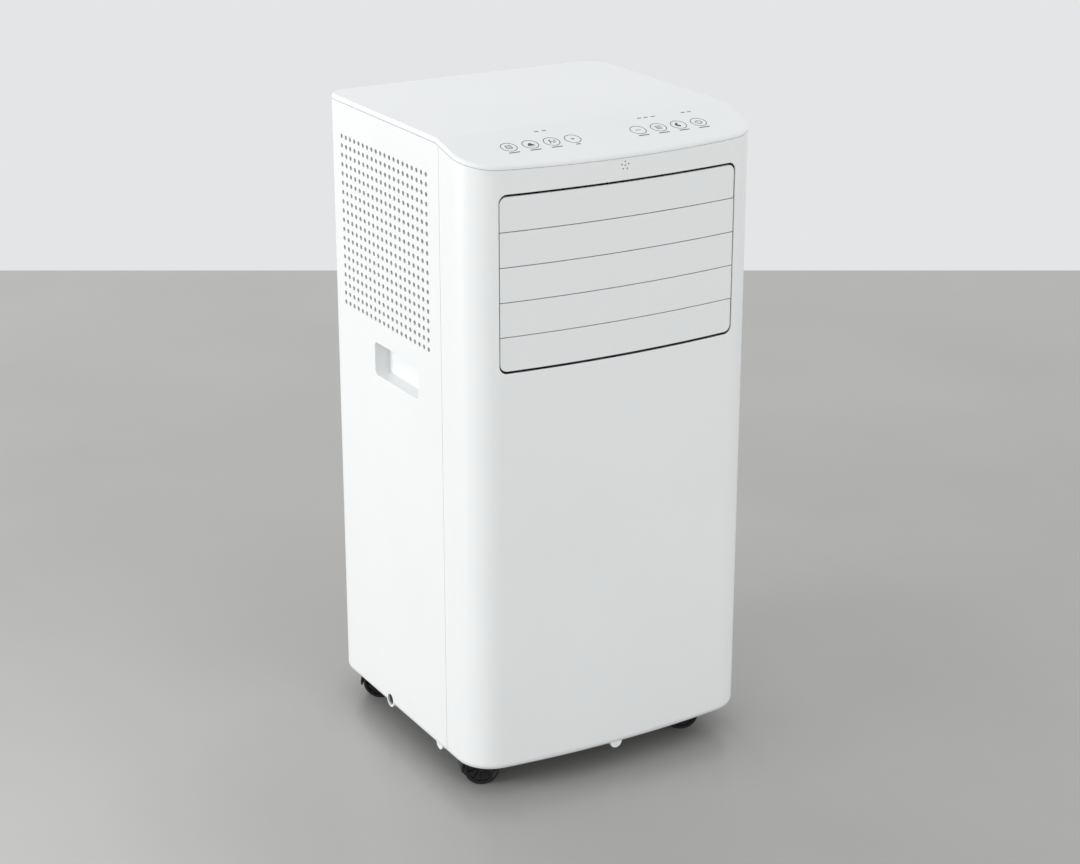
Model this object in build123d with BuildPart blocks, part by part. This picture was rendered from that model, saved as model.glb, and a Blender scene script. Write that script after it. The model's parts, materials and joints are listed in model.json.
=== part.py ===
from build123d import *
import os
from math import hypot, sqrt

# Portable air conditioner, in millimetres. +Z is up and the front faces -Y.
# The origin is on the floor, under the middle of the casing.

# ---- casing
casing_width = 338.0
casing_depth = 330.0
overall_height = 690.0
floor_gap = 28.0  # floor to the underside of the casing
wall = 2.5
bow_radius = 1100.0  # gentle bow of the front, seen from above
front_corner_radius = 40.0
rear_corner_radius = 28.0
foot_round = 8.0  # rounding along the casing's bottom edge
return_lip = 10.5  # how far the casing turns in under the base
front_cover_depth = 70.0
rear_panel_width = 250.0
seam_gap = 0.6
tongue_reach = 12.0  # overlap strip behind a seam
tongue_thickness = 2.0
fit_gap = 0.2
clear = 1.0  # how far a cutting shape runs past what it cuts
lap = 1.0  # how far shapes of one piece run into each other

# ---- top cover and its sloping control band
band_depth = 76.0
band_drop = 19.3
cover_skirt = 4.0
cover_round = 3.0
cover_tongue = 6.0

# ---- side intakes and hand grips
intake_pitch = 10.0
intake_columns = 20
intake_rows = 19
intake_hole = 5.0
intake_front = 97.0  # front of the casing to the first column
intake_top = 40.0  # top of the casing to the first row
net_thickness = 0.5
net_border = 7.0
net_frame_depth = 3.5
grip_length = 98.0
grip_height = 36.0
grip_depth = 17.0
grip_corner = 5.5
grip_wall = 2.0
grip_round = 0.8
grip_front = 171.5  # front of the casing to the grip's middle
grip_drop = 264.0  # top of the casing to the grip's middle

# ---- front air outlet and louvres
outlet_width = 273.0
outlet_height = 181.0
outlet_drop = 136.4  # top of the casing to the outlet's middle
outlet_corner = 8.5
outlet_round = 0.8
louvre_count = 5
louvre_gap = 0.8
louvre_top_gap = 2.5
louvre_bottom_gap = 2.4
louvre_end_gap = 1.1
louvre_thickness = 2.5
louvre_inset = 1.0
louvre_pivot_depth = 17.0  # front of the casing to the louvres' pivot line
louvre_pin_radius = 1.75
louvre_crank = 14.0
pin_setback = 1.0  # pins end inside the frame's outer face
sweep_clearance = 1.0  # bottom louvre's swing to the frame's floor
frame_headroom = 2.0  # outlet's top edge to the frame's ceiling
crank_pin_radius = 1.5
running_gap = 0.08
frame_wall = 3.0
frame_side_room = 6.0  # room for the link bar beside the louvres
link_width = 4.0
link_thickness = 2.0
link_side_gap = 1.6  # louvre ends to the link bar
lever_thickness = 2.0
lever_width = 6.0
louvre_drive_setback = 28.0  # louvres' pivot line back to the drive shaft
drive_shaft_radius = 2.5
louvre_round = 0.6

# ---- upright vanes behind the louvres
vane_count = 5
vane_spacing = 50.0
vane_chord = 26.0
vane_thickness = 1.6
vane_pivot_depth = 51.0  # front of the casing to the vanes' pivot line
vane_pin_radius = 2.0
vane_link_width = 5.0
vane_link_height = 3.0
vane_link_pin = 1.2
vane_notch_depth = 8.0
vane_notch_height = 9.0
vane_end_gap = 0.5
vane_tail = 3.0  # link's middle to the vane's rear edge

# ---- sounder holes in the front
sound_drop = 31.0  # top of the casing to the sounder holes
sound_hole = 1.7
sound_ring_radius = 4.0
sounder_radius = 7.0
sounder_length = 7.0

# ---- rear panel
collar_level = 375.0
collar_bore = 65.0  # radius of the hose socket
collar_wall = 5.0
collar_length = 25.0
collar_flange = 8.0
collar_flange_thickness = 3.0
filter_cover_width = 220.0
filter_cover_height = 176.0
filter_cover_drop = 124.0  # top of the casing to the filter cover's middle
slot_height = 5.0
slot_pitch = 10.0
slot_length = 96.0
slot_column_gap = 8.0
lower_slot_level = 198.0
lower_slot_rows = 17
filter_slot_rows = 14
finger_notch = 9.0
screw_radius = 2.0
screw_head_radius = 4.0
screw_length = 12.0
screw_flange = 15.0  # strip of the side panel behind the rear panel's edge
screw_inset = 8.0
lower_screw_levels = (96.0, 330.0)
upper_screw_drop = 30.0
gland_radius = 9.0
gland_bore = 4.0
gland_length = 12.0
gland_place = (97.0, 92.0)
upper_drain_x = -100.0
upper_drain_drop = 11.5  # deck's underside to the upper drain's middle

# ---- drains
drain_bore = 6.5
drain_wall = 2.0
drain_length = 26.0
drain_front = 203.0  # front of the casing to the lower drain's middle
drain_level = 35.0
plug_length = 9.0
plug_inset = 2.0
plug_gap = 0.05
plug_round = 1.0
drain_floor = 2.0

# ---- base and casters
tray_floor = 3.0
tray_wall = 2.5
tray_height = 45.0
caster_side_inset = 43.0
caster_front_inset = 50.0
caster_rear_inset = 46.0
wheel_radius = 19.0
wheel_width = 12.0
wheel_chamfer = 1.2
caster_trail = 13.0
caster_web = 8.0
caster_side_gap = 0.5
fender_gap = 1.2
fender_thickness = 2.0
fender_low = 16.0
web_floor_gap = 4.0
axle_radius = 2.5
hub_fit_gap = 0.02
stem_radius = 4.0
stem_length = 23.0
hub_radius = 9.0
hub_gap = 0.3
hub_rise = 2.0  # fender's top to the hub's top
well_clearance = 1.5
well_wall = 2.5
front_caster_turns = (250.0, 243.0)  # left and right, about the stem
rear_caster_turns = (240.0, 285.0)
tab_radius = 7.0
tab_thickness = 6.0
tab_drop = 6.0
tab_inset = 4.0
tab_setback = 25.0  # seam to the side tab
stem_seat_floor = 3.0

# ---- cooling side, upper compartment
deck_thickness = 3.0
deck_rim = 6.0
deck_half_width = 160.0
ledge_lap = 2.0
ledge_depth = 6.0
deck_rear_room = 10.0
blower_wall = 2.0
blower_depth = 195.0
strut_width = 8.0
motor_gap = 8.0
upper_coil_thickness = 24.0
upper_wheel_radius = 74.0
upper_wheel_depth = 52.0
upper_motor_radius = 40.0
upper_motor_length = 60.0
inlet_lap = 12.0  # inlet ring inside the wheel's rim
shaft_radius = 4.0
wheel_disc = 2.0
blade_count = 36
blade_thickness = 1.4
blade_chord = 13.0
blade_angle = 35.0
blade_rim = 1.0  # wheel's edge to its blades
wheel_gap = 3.0  # wheel or coil to the blower box's back wall
coil_bend_room = 12.0
coil_tube_pitch = 20.0
coil_tube_radius = 3.0
coil_groove = 2.5
coil_groove_pitch = 6.0
coil_groove_depth = 5.0
filter_frame = 8.0
filter_rim = 5.0
filter_rim_depth = 5.0
net_set_in = 2.0
net_rail = 4.0

# ---- heat side, lower compartment
scroll_x = 48.0
scroll_level = 165.0
scroll_radius = 98.0
scroll_front = 30.0
scroll_depth = 60.0
scroll_wall = 2.0
scroll_outlet_start = 10.0  # scroll's middle to the near side of its outlet
scroll_foot = 60.0
lower_wheel_radius = 80.0
lower_wheel_depth = 46.0
lower_motor_radius = 38.0
lower_motor_length = 60.0
duct_low = 300.0
duct_margin = 15.0
lower_coil_half_width = 150.0
lower_coil_thickness = 22.0
lower_coil_low = 80.0
lower_coil_high = 290.0
lower_coil_front = 128.0
compressor_x = -100.0
compressor_y = 10.0
compressor_radius = 52.0
compressor_height = 200.0
compressor_round = 22.0
mount_radius = 9.0
mount_height = 11.5
mount_circle = 58.0
accumulator_radius = 22.0
accumulator_y = -70.0
accumulator_low = 95.0
accumulator_height = 120.0
bracket_level = 50.0  # accumulator's foot to its bracket
bracket_width = 10.0
foot_margin = 2.0  # foot plate beyond its mounts
suction_rise = 15.0  # compressor's top to the suction pipe
pipe_radius = 4.0
pipe_bend = 14.0
foot_plate = 3.0
coil_rib_x = 60.0

# ---- electrics
board_thickness = 1.6
board_depth = 42.0
board_width = 262.0
pad_radius = 5.0
pad_height = 6.0
touch_spacing = 23.9
touch_left_middle = -71.2
touch_right_middle = 76.2
touch_setback = 40.0  # front of the casing to the row of touch areas
control_box_height = 120.0
control_box_width = 170.0
control_box_depth = 78.0
control_box_x = 25.0
control_box_wall = 1.0
capacitor_radius = 20.0
capacitor_height = 80.0
gear_motor_radius = 14.0
gear_motor_length = 16.0

# ---- worked out from the sizes above
front_y = -casing_depth / 2
rear_y = casing_depth / 2
side_x = casing_width / 2
seam_y = front_y + front_cover_depth
crease_y = front_y + band_depth
band_slope = band_drop / band_depth
panel_x = rear_panel_width / 2
inner_rear_y = rear_y - wall
far = casing_width + casing_depth + overall_height  # clears the whole casing
base_low = floor_gap + wall
tray_top = base_low + tray_floor
outlet_level = overall_height - outlet_drop
outlet_low = outlet_level - outlet_height / 2
outlet_high = outlet_level + outlet_height / 2
louvre_stack = outlet_height - louvre_top_gap - louvre_bottom_gap
louvre_height = (louvre_stack - (louvre_count - 1) * louvre_gap) / louvre_count
louvre_pitch = louvre_height + louvre_gap
louvre_half = outlet_width / 2 - louvre_end_gap
louvre_pivot_y = front_y + louvre_pivot_depth
louvre_levels = [
    outlet_low + louvre_bottom_gap + louvre_height / 2 + row * louvre_pitch
    for row in range(louvre_count)
]
louvre_sweep = hypot(louvre_pivot_depth, louvre_height / 2)
frame_half = outlet_width / 2 + frame_side_room
frame_low = louvre_levels[0] - louvre_sweep - sweep_clearance
frame_high = outlet_high + frame_headroom
vane_pivot_y = front_y + vane_pivot_depth
vane_places = [(row - (vane_count - 1) / 2) * vane_spacing for row in range(vane_count)]
vane_link_y = vane_pivot_y + vane_chord / 2 - vane_tail
vane_middle = (frame_low + frame_high) / 2
deck_high = frame_low - frame_wall
deck_low = deck_high - deck_thickness
upper_drain_z = deck_low - upper_drain_drop
blower_front = seam_y
blower_rear = blower_front + blower_depth
upper_axis = vane_middle
upper_wheel_front = blower_rear - blower_wall - wheel_gap - upper_wheel_depth
upper_coil_front = blower_rear + wheel_gap
caster_x = side_x - caster_side_inset
caster_places = {
    "front_left": (-caster_x, front_y + caster_front_inset, front_caster_turns[0]),
    "front_right": (caster_x, front_y + caster_front_inset, front_caster_turns[1]),
    "rear_left": (-caster_x, rear_y - caster_rear_inset, rear_caster_turns[0]),
    "rear_right": (caster_x, rear_y - caster_rear_inset, rear_caster_turns[1]),
}
wheel_outer = caster_web / 2 + caster_side_gap + wheel_width
well_radius = hypot(caster_trail + wheel_radius, wheel_outer) + well_clearance
hub_height = 2 * wheel_radius + fender_gap + fender_thickness + hub_rise
well_roof = hub_height + hub_gap
intake_first_y = front_y + intake_front
intake_middle_y = intake_first_y + (intake_columns - 1) * intake_pitch / 2
intake_last_z = overall_height - intake_top
intake_middle_z = intake_last_z - (intake_rows - 1) * intake_pitch / 2
net_length = (intake_columns - 1) * intake_pitch + 2 * net_border
net_height = (intake_rows - 1) * intake_pitch + 2 * net_border
grip_y = front_y + grip_front
grip_level = overall_height - grip_drop
sound_level = overall_height - sound_drop
filter_cover_level = overall_height - filter_cover_drop
screw_levels = (*lower_screw_levels, overall_height - upper_screw_drop)
drain_y = front_y + drain_front

os.makedirs("parts", exist_ok=True)


def save(piece, name):
    """Label a finished piece and write it."""
    piece.label = name
    export_step(piece, "parts/" + name + ".step")


def block(low, high, mode=Mode.ADD):
    """Box between two opposite corners, in the current part."""
    middle = tuple((a + b) / 2 for a, b in zip(low, high))
    with Locations(middle):
        Box(*[b - a for a, b in zip(low, high)], mode=mode)


def rod(start, radius, length, turn=(0, 0, 0), mode=Mode.ADD):
    """Cylinder that starts at a point and runs along +Z, turned by turn."""
    with Locations(Location(start, turn)):
        Cylinder(radius, length, align=(Align.CENTER, Align.CENTER, Align.MIN), mode=mode)


ALONG_X = (0, 90, 0)
ALONG_Y = (-90, 0, 0)


def casing_plan(inset):
    """Casing outline seen from above, moved inwards: bowed front, round corners, flat back."""
    half_width = side_x - inset
    half_depth = casing_depth / 2 - inset
    bow = bow_radius - inset
    front_corner = front_corner_radius - inset
    rear_corner = rear_corner_radius - inset
    bow_middle = Vector(0, bow - half_depth)
    corner_x = half_width - front_corner
    corner_y = bow_middle.Y - sqrt((bow - front_corner) ** 2 - corner_x**2)
    outwards = Vector(corner_x, corner_y - bow_middle.Y).normalized()
    touch = bow_middle + outwards * bow
    front_turn = Vector(corner_x, corner_y) + (outwards + Vector(1, 0)).normalized() * front_corner
    rear_turn = Vector(half_width - rear_corner, half_depth - rear_corner)
    rear_turn += Vector(1, 1).normalized() * rear_corner
    with BuildSketch() as plan:
        with BuildLine():
            ThreePointArc((-touch.X, touch.Y), (0, -half_depth), (touch.X, touch.Y))
            for side in (-1, 1):
                ThreePointArc(
                    (side * touch.X, touch.Y),
                    (side * front_turn.X, front_turn.Y),
                    (side * half_width, corner_y),
                )
                Line((side * half_width, corner_y), (side * half_width, half_depth - rear_corner))
                ThreePointArc(
                    (side * half_width, half_depth - rear_corner),
                    (side * rear_turn.X, rear_turn.Y),
                    (side * (half_width - rear_corner), half_depth),
                )
            Line((rear_corner - half_width, half_depth), (half_width - rear_corner, half_depth))
        make_face()
    return plan.sketch


def casing_block(inset, low, high):
    """Solid with the casing's outline between two levels."""
    with BuildPart() as solid:
        with BuildSketch(Plane.XY.offset(low)):
            add(casing_plan(inset))
        extrude(amount=high - low)
    return solid.part


def above_top(drop):
    """Everything above the top surface, with that surface lowered by drop."""
    high = overall_height - drop
    with BuildPart() as zone:
        with BuildSketch(Plane.YZ):
            with BuildLine():
                Polyline(
                    (-far, high + (-far - crease_y) * band_slope),
                    (crease_y, high),
                    (far, high),
                    (far, high + far),
                    (-far, high + far),
                    close=True,
                )
            make_face()
        extrude(amount=far, both=True)
    return zone.part


# ======== casing shells ========

casing_room = casing_block(wall, floor_gap + wall, overall_height)
with BuildPart() as rounded_room:
    add(casing_room)
    fillet(rounded_room.faces().sort_by(Axis.Z)[0].edges(), radius=foot_round - wall)
foot_opening = casing_block(return_lip, floor_gap - wall, floor_gap + 2 * wall)
panels_end = above_top(cover_skirt + seam_gap)

# The whole upright shell, before it is divided into its four panels.
with BuildPart() as casing_shell:
    with BuildSketch(Plane.XY.offset(floor_gap)):
        add(casing_plan(0))
    extrude(amount=overall_height - floor_gap)
    fillet(casing_shell.faces().sort_by(Axis.Z)[0].edges(), radius=foot_round)
    add(rounded_room.part, mode=Mode.SUBTRACT)
    add(foot_opening, mode=Mode.SUBTRACT)
    # room for the casters to swivel past the turned-in edge
    for x, y, turn in caster_places.values():
        rod((x, y, floor_gap - clear), well_radius, wall + 2 * clear, mode=Mode.SUBTRACT)
    add(panels_end, mode=Mode.SUBTRACT)

# Half-round skid tabs under the turned-in edge, at the front and at the left side.
tab_level = floor_gap - tab_drop + tab_radius


def skid_tab(start, turn):
    """Disc that stands under the casing's edge, cut off where the base tray rests."""
    with BuildPart() as tab:
        rod(start, tab_radius, tab_thickness, turn)
        block((-far, -far, base_low), (far, far, far), Mode.SUBTRACT)
    return tab.part


# How far the bowed front falls back at the outlet's edge.
bow_sag = bow_radius - sqrt(bow_radius**2 - (outlet_width / 2) ** 2)

# Front panel: bowed front with both front corners, the air outlet and the sounder holes.
with BuildPart() as front_panel:
    add(casing_shell.part)
    block(
        (-far, -far, -far), (far, seam_y - seam_gap / 2, far), mode=Mode.INTERSECT
    )
    with BuildSketch(Plane.XZ.offset(-front_y + wall)):
        with Locations((0, outlet_level)):
            RectangleRounded(outlet_width, outlet_height, outlet_corner)
    extrude(amount=-front_cover_depth, mode=Mode.SUBTRACT)
    with BuildSketch(Plane.XZ.offset(-front_y + wall)):
        with Locations((0, sound_level)):
            Circle(sound_hole / 2)
            with PolarLocations(sound_ring_radius, 5, start_angle=90):
                Circle(sound_hole / 2)
    extrude(amount=-4 * wall, mode=Mode.SUBTRACT)
    # soften the opening's front edge
    mouth = front_panel.edges().filter_by(
        lambda edge: abs(edge.center().X) < outlet_width / 2 + fit_gap
        and abs(edge.center().Z - outlet_level) < outlet_height / 2 + fit_gap
        and edge.center().Y < front_y + bow_sag + fit_gap
        and edge.length > sound_hole * 4
    )
    fillet(mouth, radius=outlet_round)
    add(skid_tab((0, front_y + tab_inset, tab_level), ALONG_Y))
save(front_panel.part, "front_panel")

# What both side panels share: flat side, rear corner, intake holes, hand grip and strips
# that pass behind the neighbouring panels. Made for the left side.
side_end_x = -panel_x - seam_gap / 2
side_inner = -side_x + wall
grip_out = -side_x - clear
strip_low = base_low + tray_height + fit_gap
strip_high = overall_height - cover_skirt - cover_tongue - 2 * wall
with BuildPart() as side_shape:
    add(casing_shell.part)
    block(
        (-far, seam_y + seam_gap / 2, -far), (side_end_x, far, far), mode=Mode.INTERSECT
    )
    # strip behind the front panel's edge
    block(
        (side_inner, seam_y - tongue_reach, strip_low),
        (side_inner + tongue_thickness, seam_y + tongue_reach, strip_high),
    )
    # strip behind the rear panel's edge, which takes its screws
    block(
        (side_end_x - tongue_reach, inner_rear_y - tongue_thickness, strip_low),
        (side_end_x + screw_flange, inner_rear_y, strip_high),
    )
    # ledge for the deck
    block(
        (side_inner, seam_y + tongue_reach, deck_low - ledge_depth),
        (-deck_half_width + ledge_lap, rear_y - 2 * rear_corner_radius, deck_low),
    )
    # hand grip cup
    with BuildSketch(Plane.YZ.offset(-side_x)):
        with Locations((grip_y, grip_level)):
            RectangleRounded(
                grip_length + 2 * grip_wall, grip_height + 2 * grip_wall, grip_corner + grip_wall
            )
    extrude(amount=grip_depth + grip_wall)
    with BuildSketch(Plane.YZ.offset(grip_out)):
        with Locations((grip_y, grip_level)):
            RectangleRounded(grip_length, grip_height, grip_corner)
    extrude(amount=grip_depth + clear, mode=Mode.SUBTRACT)
    # rounded mouth and floor of the cup
    for depth in (0, grip_depth):
        rim = side_shape.edges().filter_by(
            lambda edge: abs(edge.center().X + side_x - depth) < fit_gap
            and abs(edge.center().Y - grip_y) < grip_length / 2 + fit_gap
            and abs(edge.center().Z - grip_level) < grip_height / 2 + fit_gap
        )
        fillet(rim, radius=grip_round)
    # intake holes
    with BuildSketch(Plane.YZ.offset(grip_out)):
        with Locations((intake_middle_y, intake_middle_z)):
            with GridLocations(intake_pitch, intake_pitch, intake_columns, intake_rows):
                Circle(intake_hole / 2)
    extrude(amount=wall + 2 * clear, mode=Mode.SUBTRACT)
    # pilot holes for the rear panel's screws
    for level in screw_levels:
        rod(
            (-panel_x + screw_inset, inner_rear_y - 2 * wall, level),
            screw_radius,
            3 * wall,
            ALONG_Y,
            Mode.SUBTRACT,
        )

# Left side panel: the shared shape with a round notch over the lower drain.
with BuildPart() as left_side_panel:
    add(side_shape.part)
    rod(
        (-side_x - clear, drain_y, drain_level),
        drain_bore + drain_wall + fit_gap,
        foot_round + return_lip,
        ALONG_X,
        Mode.SUBTRACT,
    )
    add(skid_tab((tab_inset - side_x, seam_y + tab_setback, tab_level), ALONG_X))
save(left_side_panel.part, "left_side_panel")

# Right side panel: the same shape mirrored, without a drain notch.
with BuildPart() as right_side_panel:
    mirror(side_shape.part, about=Plane.YZ)
save(right_side_panel.part, "right_side_panel")

# Rear panel: flat, with the filter opening, hose opening and the lower intake slots.
gland_x, gland_z = gland_place
collar_outer = collar_bore + collar_wall
slot_columns_pitch = slot_length + slot_column_gap
with BuildPart() as rear_panel:
    add(casing_shell.part)
    block(
        (-panel_x + seam_gap / 2, 0, -far),
        (panel_x - seam_gap / 2, far, far),
        mode=Mode.INTERSECT,
    )
    with BuildSketch(Plane.XZ.offset(-rear_y - wall)):
        with Locations((0, filter_cover_level)):
            RectangleRounded(filter_cover_width, filter_cover_height, outlet_corner)
        with Locations((0, collar_level)):
            Circle(collar_outer + fit_gap)
        with Locations((0, lower_slot_level)):
            with GridLocations(slot_columns_pitch, slot_pitch, 2, lower_slot_rows):
                SlotOverall(slot_length, slot_height)
        with Locations((gland_x, gland_z)):
            Circle(gland_radius - wall)
        with Locations((upper_drain_x, upper_drain_z)):
            Circle(drain_bore + drain_wall + fit_gap)
    extrude(amount=3 * wall, mode=Mode.SUBTRACT)
    for side in (-1, 1):
        for level in screw_levels:
            x = side * (panel_x - screw_inset)
            hole_start = (x, inner_rear_y - wall, level)
            rod(hole_start, screw_radius + fit_gap, 3 * wall, ALONG_Y, Mode.SUBTRACT)
            with Locations(Location((x, rear_y - wall / 2, level), ALONG_Y)):
                Cone(
                    screw_radius + fit_gap, screw_head_radius + fit_gap, wall, mode=Mode.SUBTRACT
                )
save(rear_panel.part, "rear_panel")

# Screws of the rear panel, with flush countersunk heads.
with BuildPart() as rear_screws:
    for side in (-1, 1):
        for level in screw_levels:
            x = side * (panel_x - screw_inset)
            tip = (x, rear_y - screw_length, level)
            rod(tip, screw_radius - fit_gap / 2, screw_length, ALONG_Y)
            with Locations(Location((x, rear_y - wall / 2, level), ALONG_Y)):
                Cone(screw_radius - fit_gap / 2, screw_head_radius, wall)
save(rear_screws.part, "rear_screws")

# Top cover: flat top with a sloping control band at the front, a shallow skirt and an
# inner lip that drops behind the panels' top edges.
cover_blank = casing_block(0, overall_height - 3 * band_drop, overall_height)
cover_room = casing_block(wall, overall_height - 4 * band_drop, overall_height)
lip_outer = casing_block(wall + fit_gap, overall_height - 4 * band_drop, overall_height)
lip_inner = casing_block(
    wall + fit_gap + tongue_thickness, overall_height - 5 * band_drop, overall_height
)
cover_face = above_top(0)
cover_zone = above_top(cover_skirt)
under_face = above_top(wall)
lip_zone = above_top(cover_skirt + cover_tongue)

with BuildPart() as cover_inside:
    add(cover_room)
    add(under_face, mode=Mode.SUBTRACT)
with BuildPart() as cover_lip:
    add(lip_outer)
    add(lip_inner, mode=Mode.SUBTRACT)
    add(under_face, mode=Mode.SUBTRACT)
    add(lip_zone, mode=Mode.INTERSECT)
with BuildPart() as top_cover:
    add(cover_blank)
    add(cover_face, mode=Mode.SUBTRACT)
    rims = top_cover.edges().filter_by(lambda edge: edge.center().Z > overall_height - 2 * band_drop)
    rims = rims.filter_by(lambda edge: abs(edge.center().Y - crease_y) > clear)
    rims = rims.filter_by(Axis.Z, reverse=True)
    fillet(rims, radius=cover_round)
    add(cover_zone, mode=Mode.INTERSECT)
    add(cover_inside.part, mode=Mode.SUBTRACT)
    add(cover_lip.part)
save(top_cover.part, "top_cover")

# ======== front outlet: frame, louvres, drive and vanes ========

frame_outer_half = frame_half + frame_wall
drive_y = louvre_pivot_y + louvre_drive_setback
drive_row = louvre_count // 2
drive_level = louvre_levels[drive_row]
crank_y = louvre_pivot_y + louvre_crank
drive_pin_y = drive_y + louvre_crank
lever_inner = louvre_half - lever_thickness
link_inner = louvre_half + link_side_gap
link_outer = link_inner + link_thickness
drive_lever_inner = link_outer + fit_gap
drive_lever_outer = drive_lever_inner + lever_thickness
pin_end = frame_half + frame_wall - pin_setback
panel_lining = casing_block(wall, frame_low - 2 * frame_wall, frame_high + 2 * frame_wall)

# Outlet frame: the short duct behind the opening that carries both sets of pivots.
with BuildPart() as outlet_frame:
    block(
        (-frame_outer_half, front_y, frame_low - frame_wall),
        (frame_outer_half, blower_front, frame_high + frame_wall),
    )
    block(
        (-frame_half, front_y - wall, frame_low),
        (frame_half, blower_front + wall, frame_high),
        Mode.SUBTRACT,
    )
    add(panel_lining, mode=Mode.INTERSECT)
    for level in louvre_levels:
        rod(
            (-side_x, louvre_pivot_y, level),
            louvre_pin_radius + running_gap,
            casing_width,
            ALONG_X,
            Mode.SUBTRACT,
        )
    for x in vane_places:
        rod(
            (x, vane_pivot_y, frame_low - 2 * frame_wall),
            vane_pin_radius + running_gap,
            frame_high - frame_low + 4 * frame_wall,
            mode=Mode.SUBTRACT,
        )
    rod((0, drive_y, drive_level), drive_shaft_radius + running_gap, side_x, ALONG_X, Mode.SUBTRACT)
save(outlet_frame.part, "outlet_frame")

blade_front = casing_block(louvre_inset, outlet_low, outlet_high)
blade_back = casing_block(
    louvre_inset + louvre_thickness, outlet_low - clear, outlet_high + clear
)
gusset_room = casing_block(louvre_inset + louvre_thickness / 2, outlet_low, outlet_high)


def louvre(row):
    """Louvre blade that follows the front's bow, with pivot pins, and a crank at its right end."""
    level = louvre_levels[row]
    low = level - louvre_height / 2
    high = level + louvre_height / 2
    with BuildPart() as blade:
        add(blade_front)
        add(blade_back, mode=Mode.SUBTRACT)
        block((-louvre_half, front_y, low), (louvre_half, seam_y - wall, high), Mode.INTERSECT)
        corners = blade.edges().filter_by(Axis.Y).group_by(Axis.Z)
        if row == 0:
            fillet(corners[0], radius=outlet_corner - louvre_end_gap)
        if row == louvre_count - 1:
            fillet(corners[-1], radius=outlet_corner - louvre_end_gap)
        face = blade.faces().sort_by(Axis.Y)[0]
        fillet(face.edges(), radius=louvre_round)
    with BuildPart() as piece:
        for side in (-1, 1):
            ends = sorted((side * lever_inner, side * louvre_half))
            block(
                (ends[0], front_y, level - lever_width / 2),
                (ends[1], louvre_pivot_y + lever_width / 2, level + lever_width / 2),
            )
        block(
            (lever_inner, louvre_pivot_y, level - lever_width / 2),
            (louvre_half, crank_y + lever_width / 2, level + lever_width / 2),
        )
        add(gusset_room, mode=Mode.INTERSECT)
        add(blade.part)
        for start in (-pin_end, lever_inner):
            rod((start, louvre_pivot_y, level), louvre_pin_radius, pin_end - lever_inner, ALONG_X)
        rod((lever_inner, crank_y, level), crank_pin_radius, link_outer - lever_inner, ALONG_X)
    return piece.part


for row in range(louvre_count):
    save(louvre(row), "louvre_" + str(louvre_count - row))

# Link bar: joins the cranks of all louvres and has an arm back to the drive crank.
with BuildPart() as louvre_link:
    block(
        (link_inner, crank_y - link_width / 2, louvre_levels[0] - link_width),
        (link_outer, crank_y + link_width / 2, louvre_levels[-1] + link_width),
    )
    block(
        (link_inner, crank_y, drive_level - link_width),
        (link_outer, drive_pin_y + link_width, drive_level + link_width),
    )
    hole_places = [(crank_y, level) for level in louvre_levels] + [(drive_pin_y, drive_level)]
    for y, level in hole_places:
        rod(
            (link_inner - clear, y, level),
            crank_pin_radius + running_gap,
            link_thickness + 2 * clear,
            ALONG_X,
            Mode.SUBTRACT,
        )
save(louvre_link.part, "louvre_link")

# Drive crank: shaft of the gear motor with a lever and a pin that moves the link bar.
with BuildPart() as louvre_drive_crank:
    block(
        (drive_lever_inner, drive_y - lever_width / 2, drive_level - lever_width / 2),
        (drive_lever_outer, drive_pin_y + lever_width / 2, drive_level + lever_width / 2),
    )
    rod(
        (drive_lever_inner, drive_y, drive_level),
        drive_shaft_radius,
        frame_outer_half + gear_motor_length / 2 - drive_lever_inner,
        ALONG_X,
    )
    rod(
        (link_inner, drive_pin_y, drive_level),
        crank_pin_radius,
        drive_lever_outer - link_inner,
        ALONG_X,
    )
save(louvre_drive_crank.part, "louvre_drive_crank")

# Gear motor of the louvres, on the outside of the frame's right wall.
with BuildPart() as louvre_motor:
    rod((frame_outer_half, drive_y, drive_level), gear_motor_radius, gear_motor_length, ALONG_X)
    ear = gear_motor_radius + 2 * louvre_pin_radius + screw_radius
    block(
        (frame_outer_half, drive_y - lever_width / 2, drive_level - ear),
        (frame_outer_half + lever_thickness, drive_y + lever_width / 2, drive_level + ear),
    )
    rod(
        (frame_outer_half - clear, drive_y, drive_level),
        drive_shaft_radius + running_gap,
        gear_motor_length / 2 + 2 * clear,
        ALONG_X,
        Mode.SUBTRACT,
    )
save(louvre_motor.part, "louvre_motor")

vane_tail_y = vane_pivot_y + vane_chord / 2
vane_low = frame_low + vane_end_gap
vane_high = frame_high - vane_end_gap


def vane(x):
    """Upright vane with a pin at each end and a notched tail for the link."""
    notch_low = vane_middle - vane_notch_height / 2
    with BuildPart() as piece:
        block(
            (x - vane_thickness / 2, vane_pivot_y - vane_chord / 2, vane_low),
            (x + vane_thickness / 2, vane_tail_y, vane_high),
        )
        block(
            (x - vane_thickness, vane_tail_y - vane_notch_depth, notch_low),
            (x + vane_thickness, vane_tail_y + clear, notch_low + vane_notch_height),
            Mode.SUBTRACT,
        )
        rod((x, vane_link_y, notch_low), vane_link_pin, vane_notch_height)
        for start in (frame_low - frame_wall + lap, vane_high - lap):
            rod((x, vane_pivot_y, start), vane_pin_radius, vane_end_gap + frame_wall)
    return piece.part


for number, x in enumerate(vane_places, start=1):
    save(vane(x), "vane_" + str(number))

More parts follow.
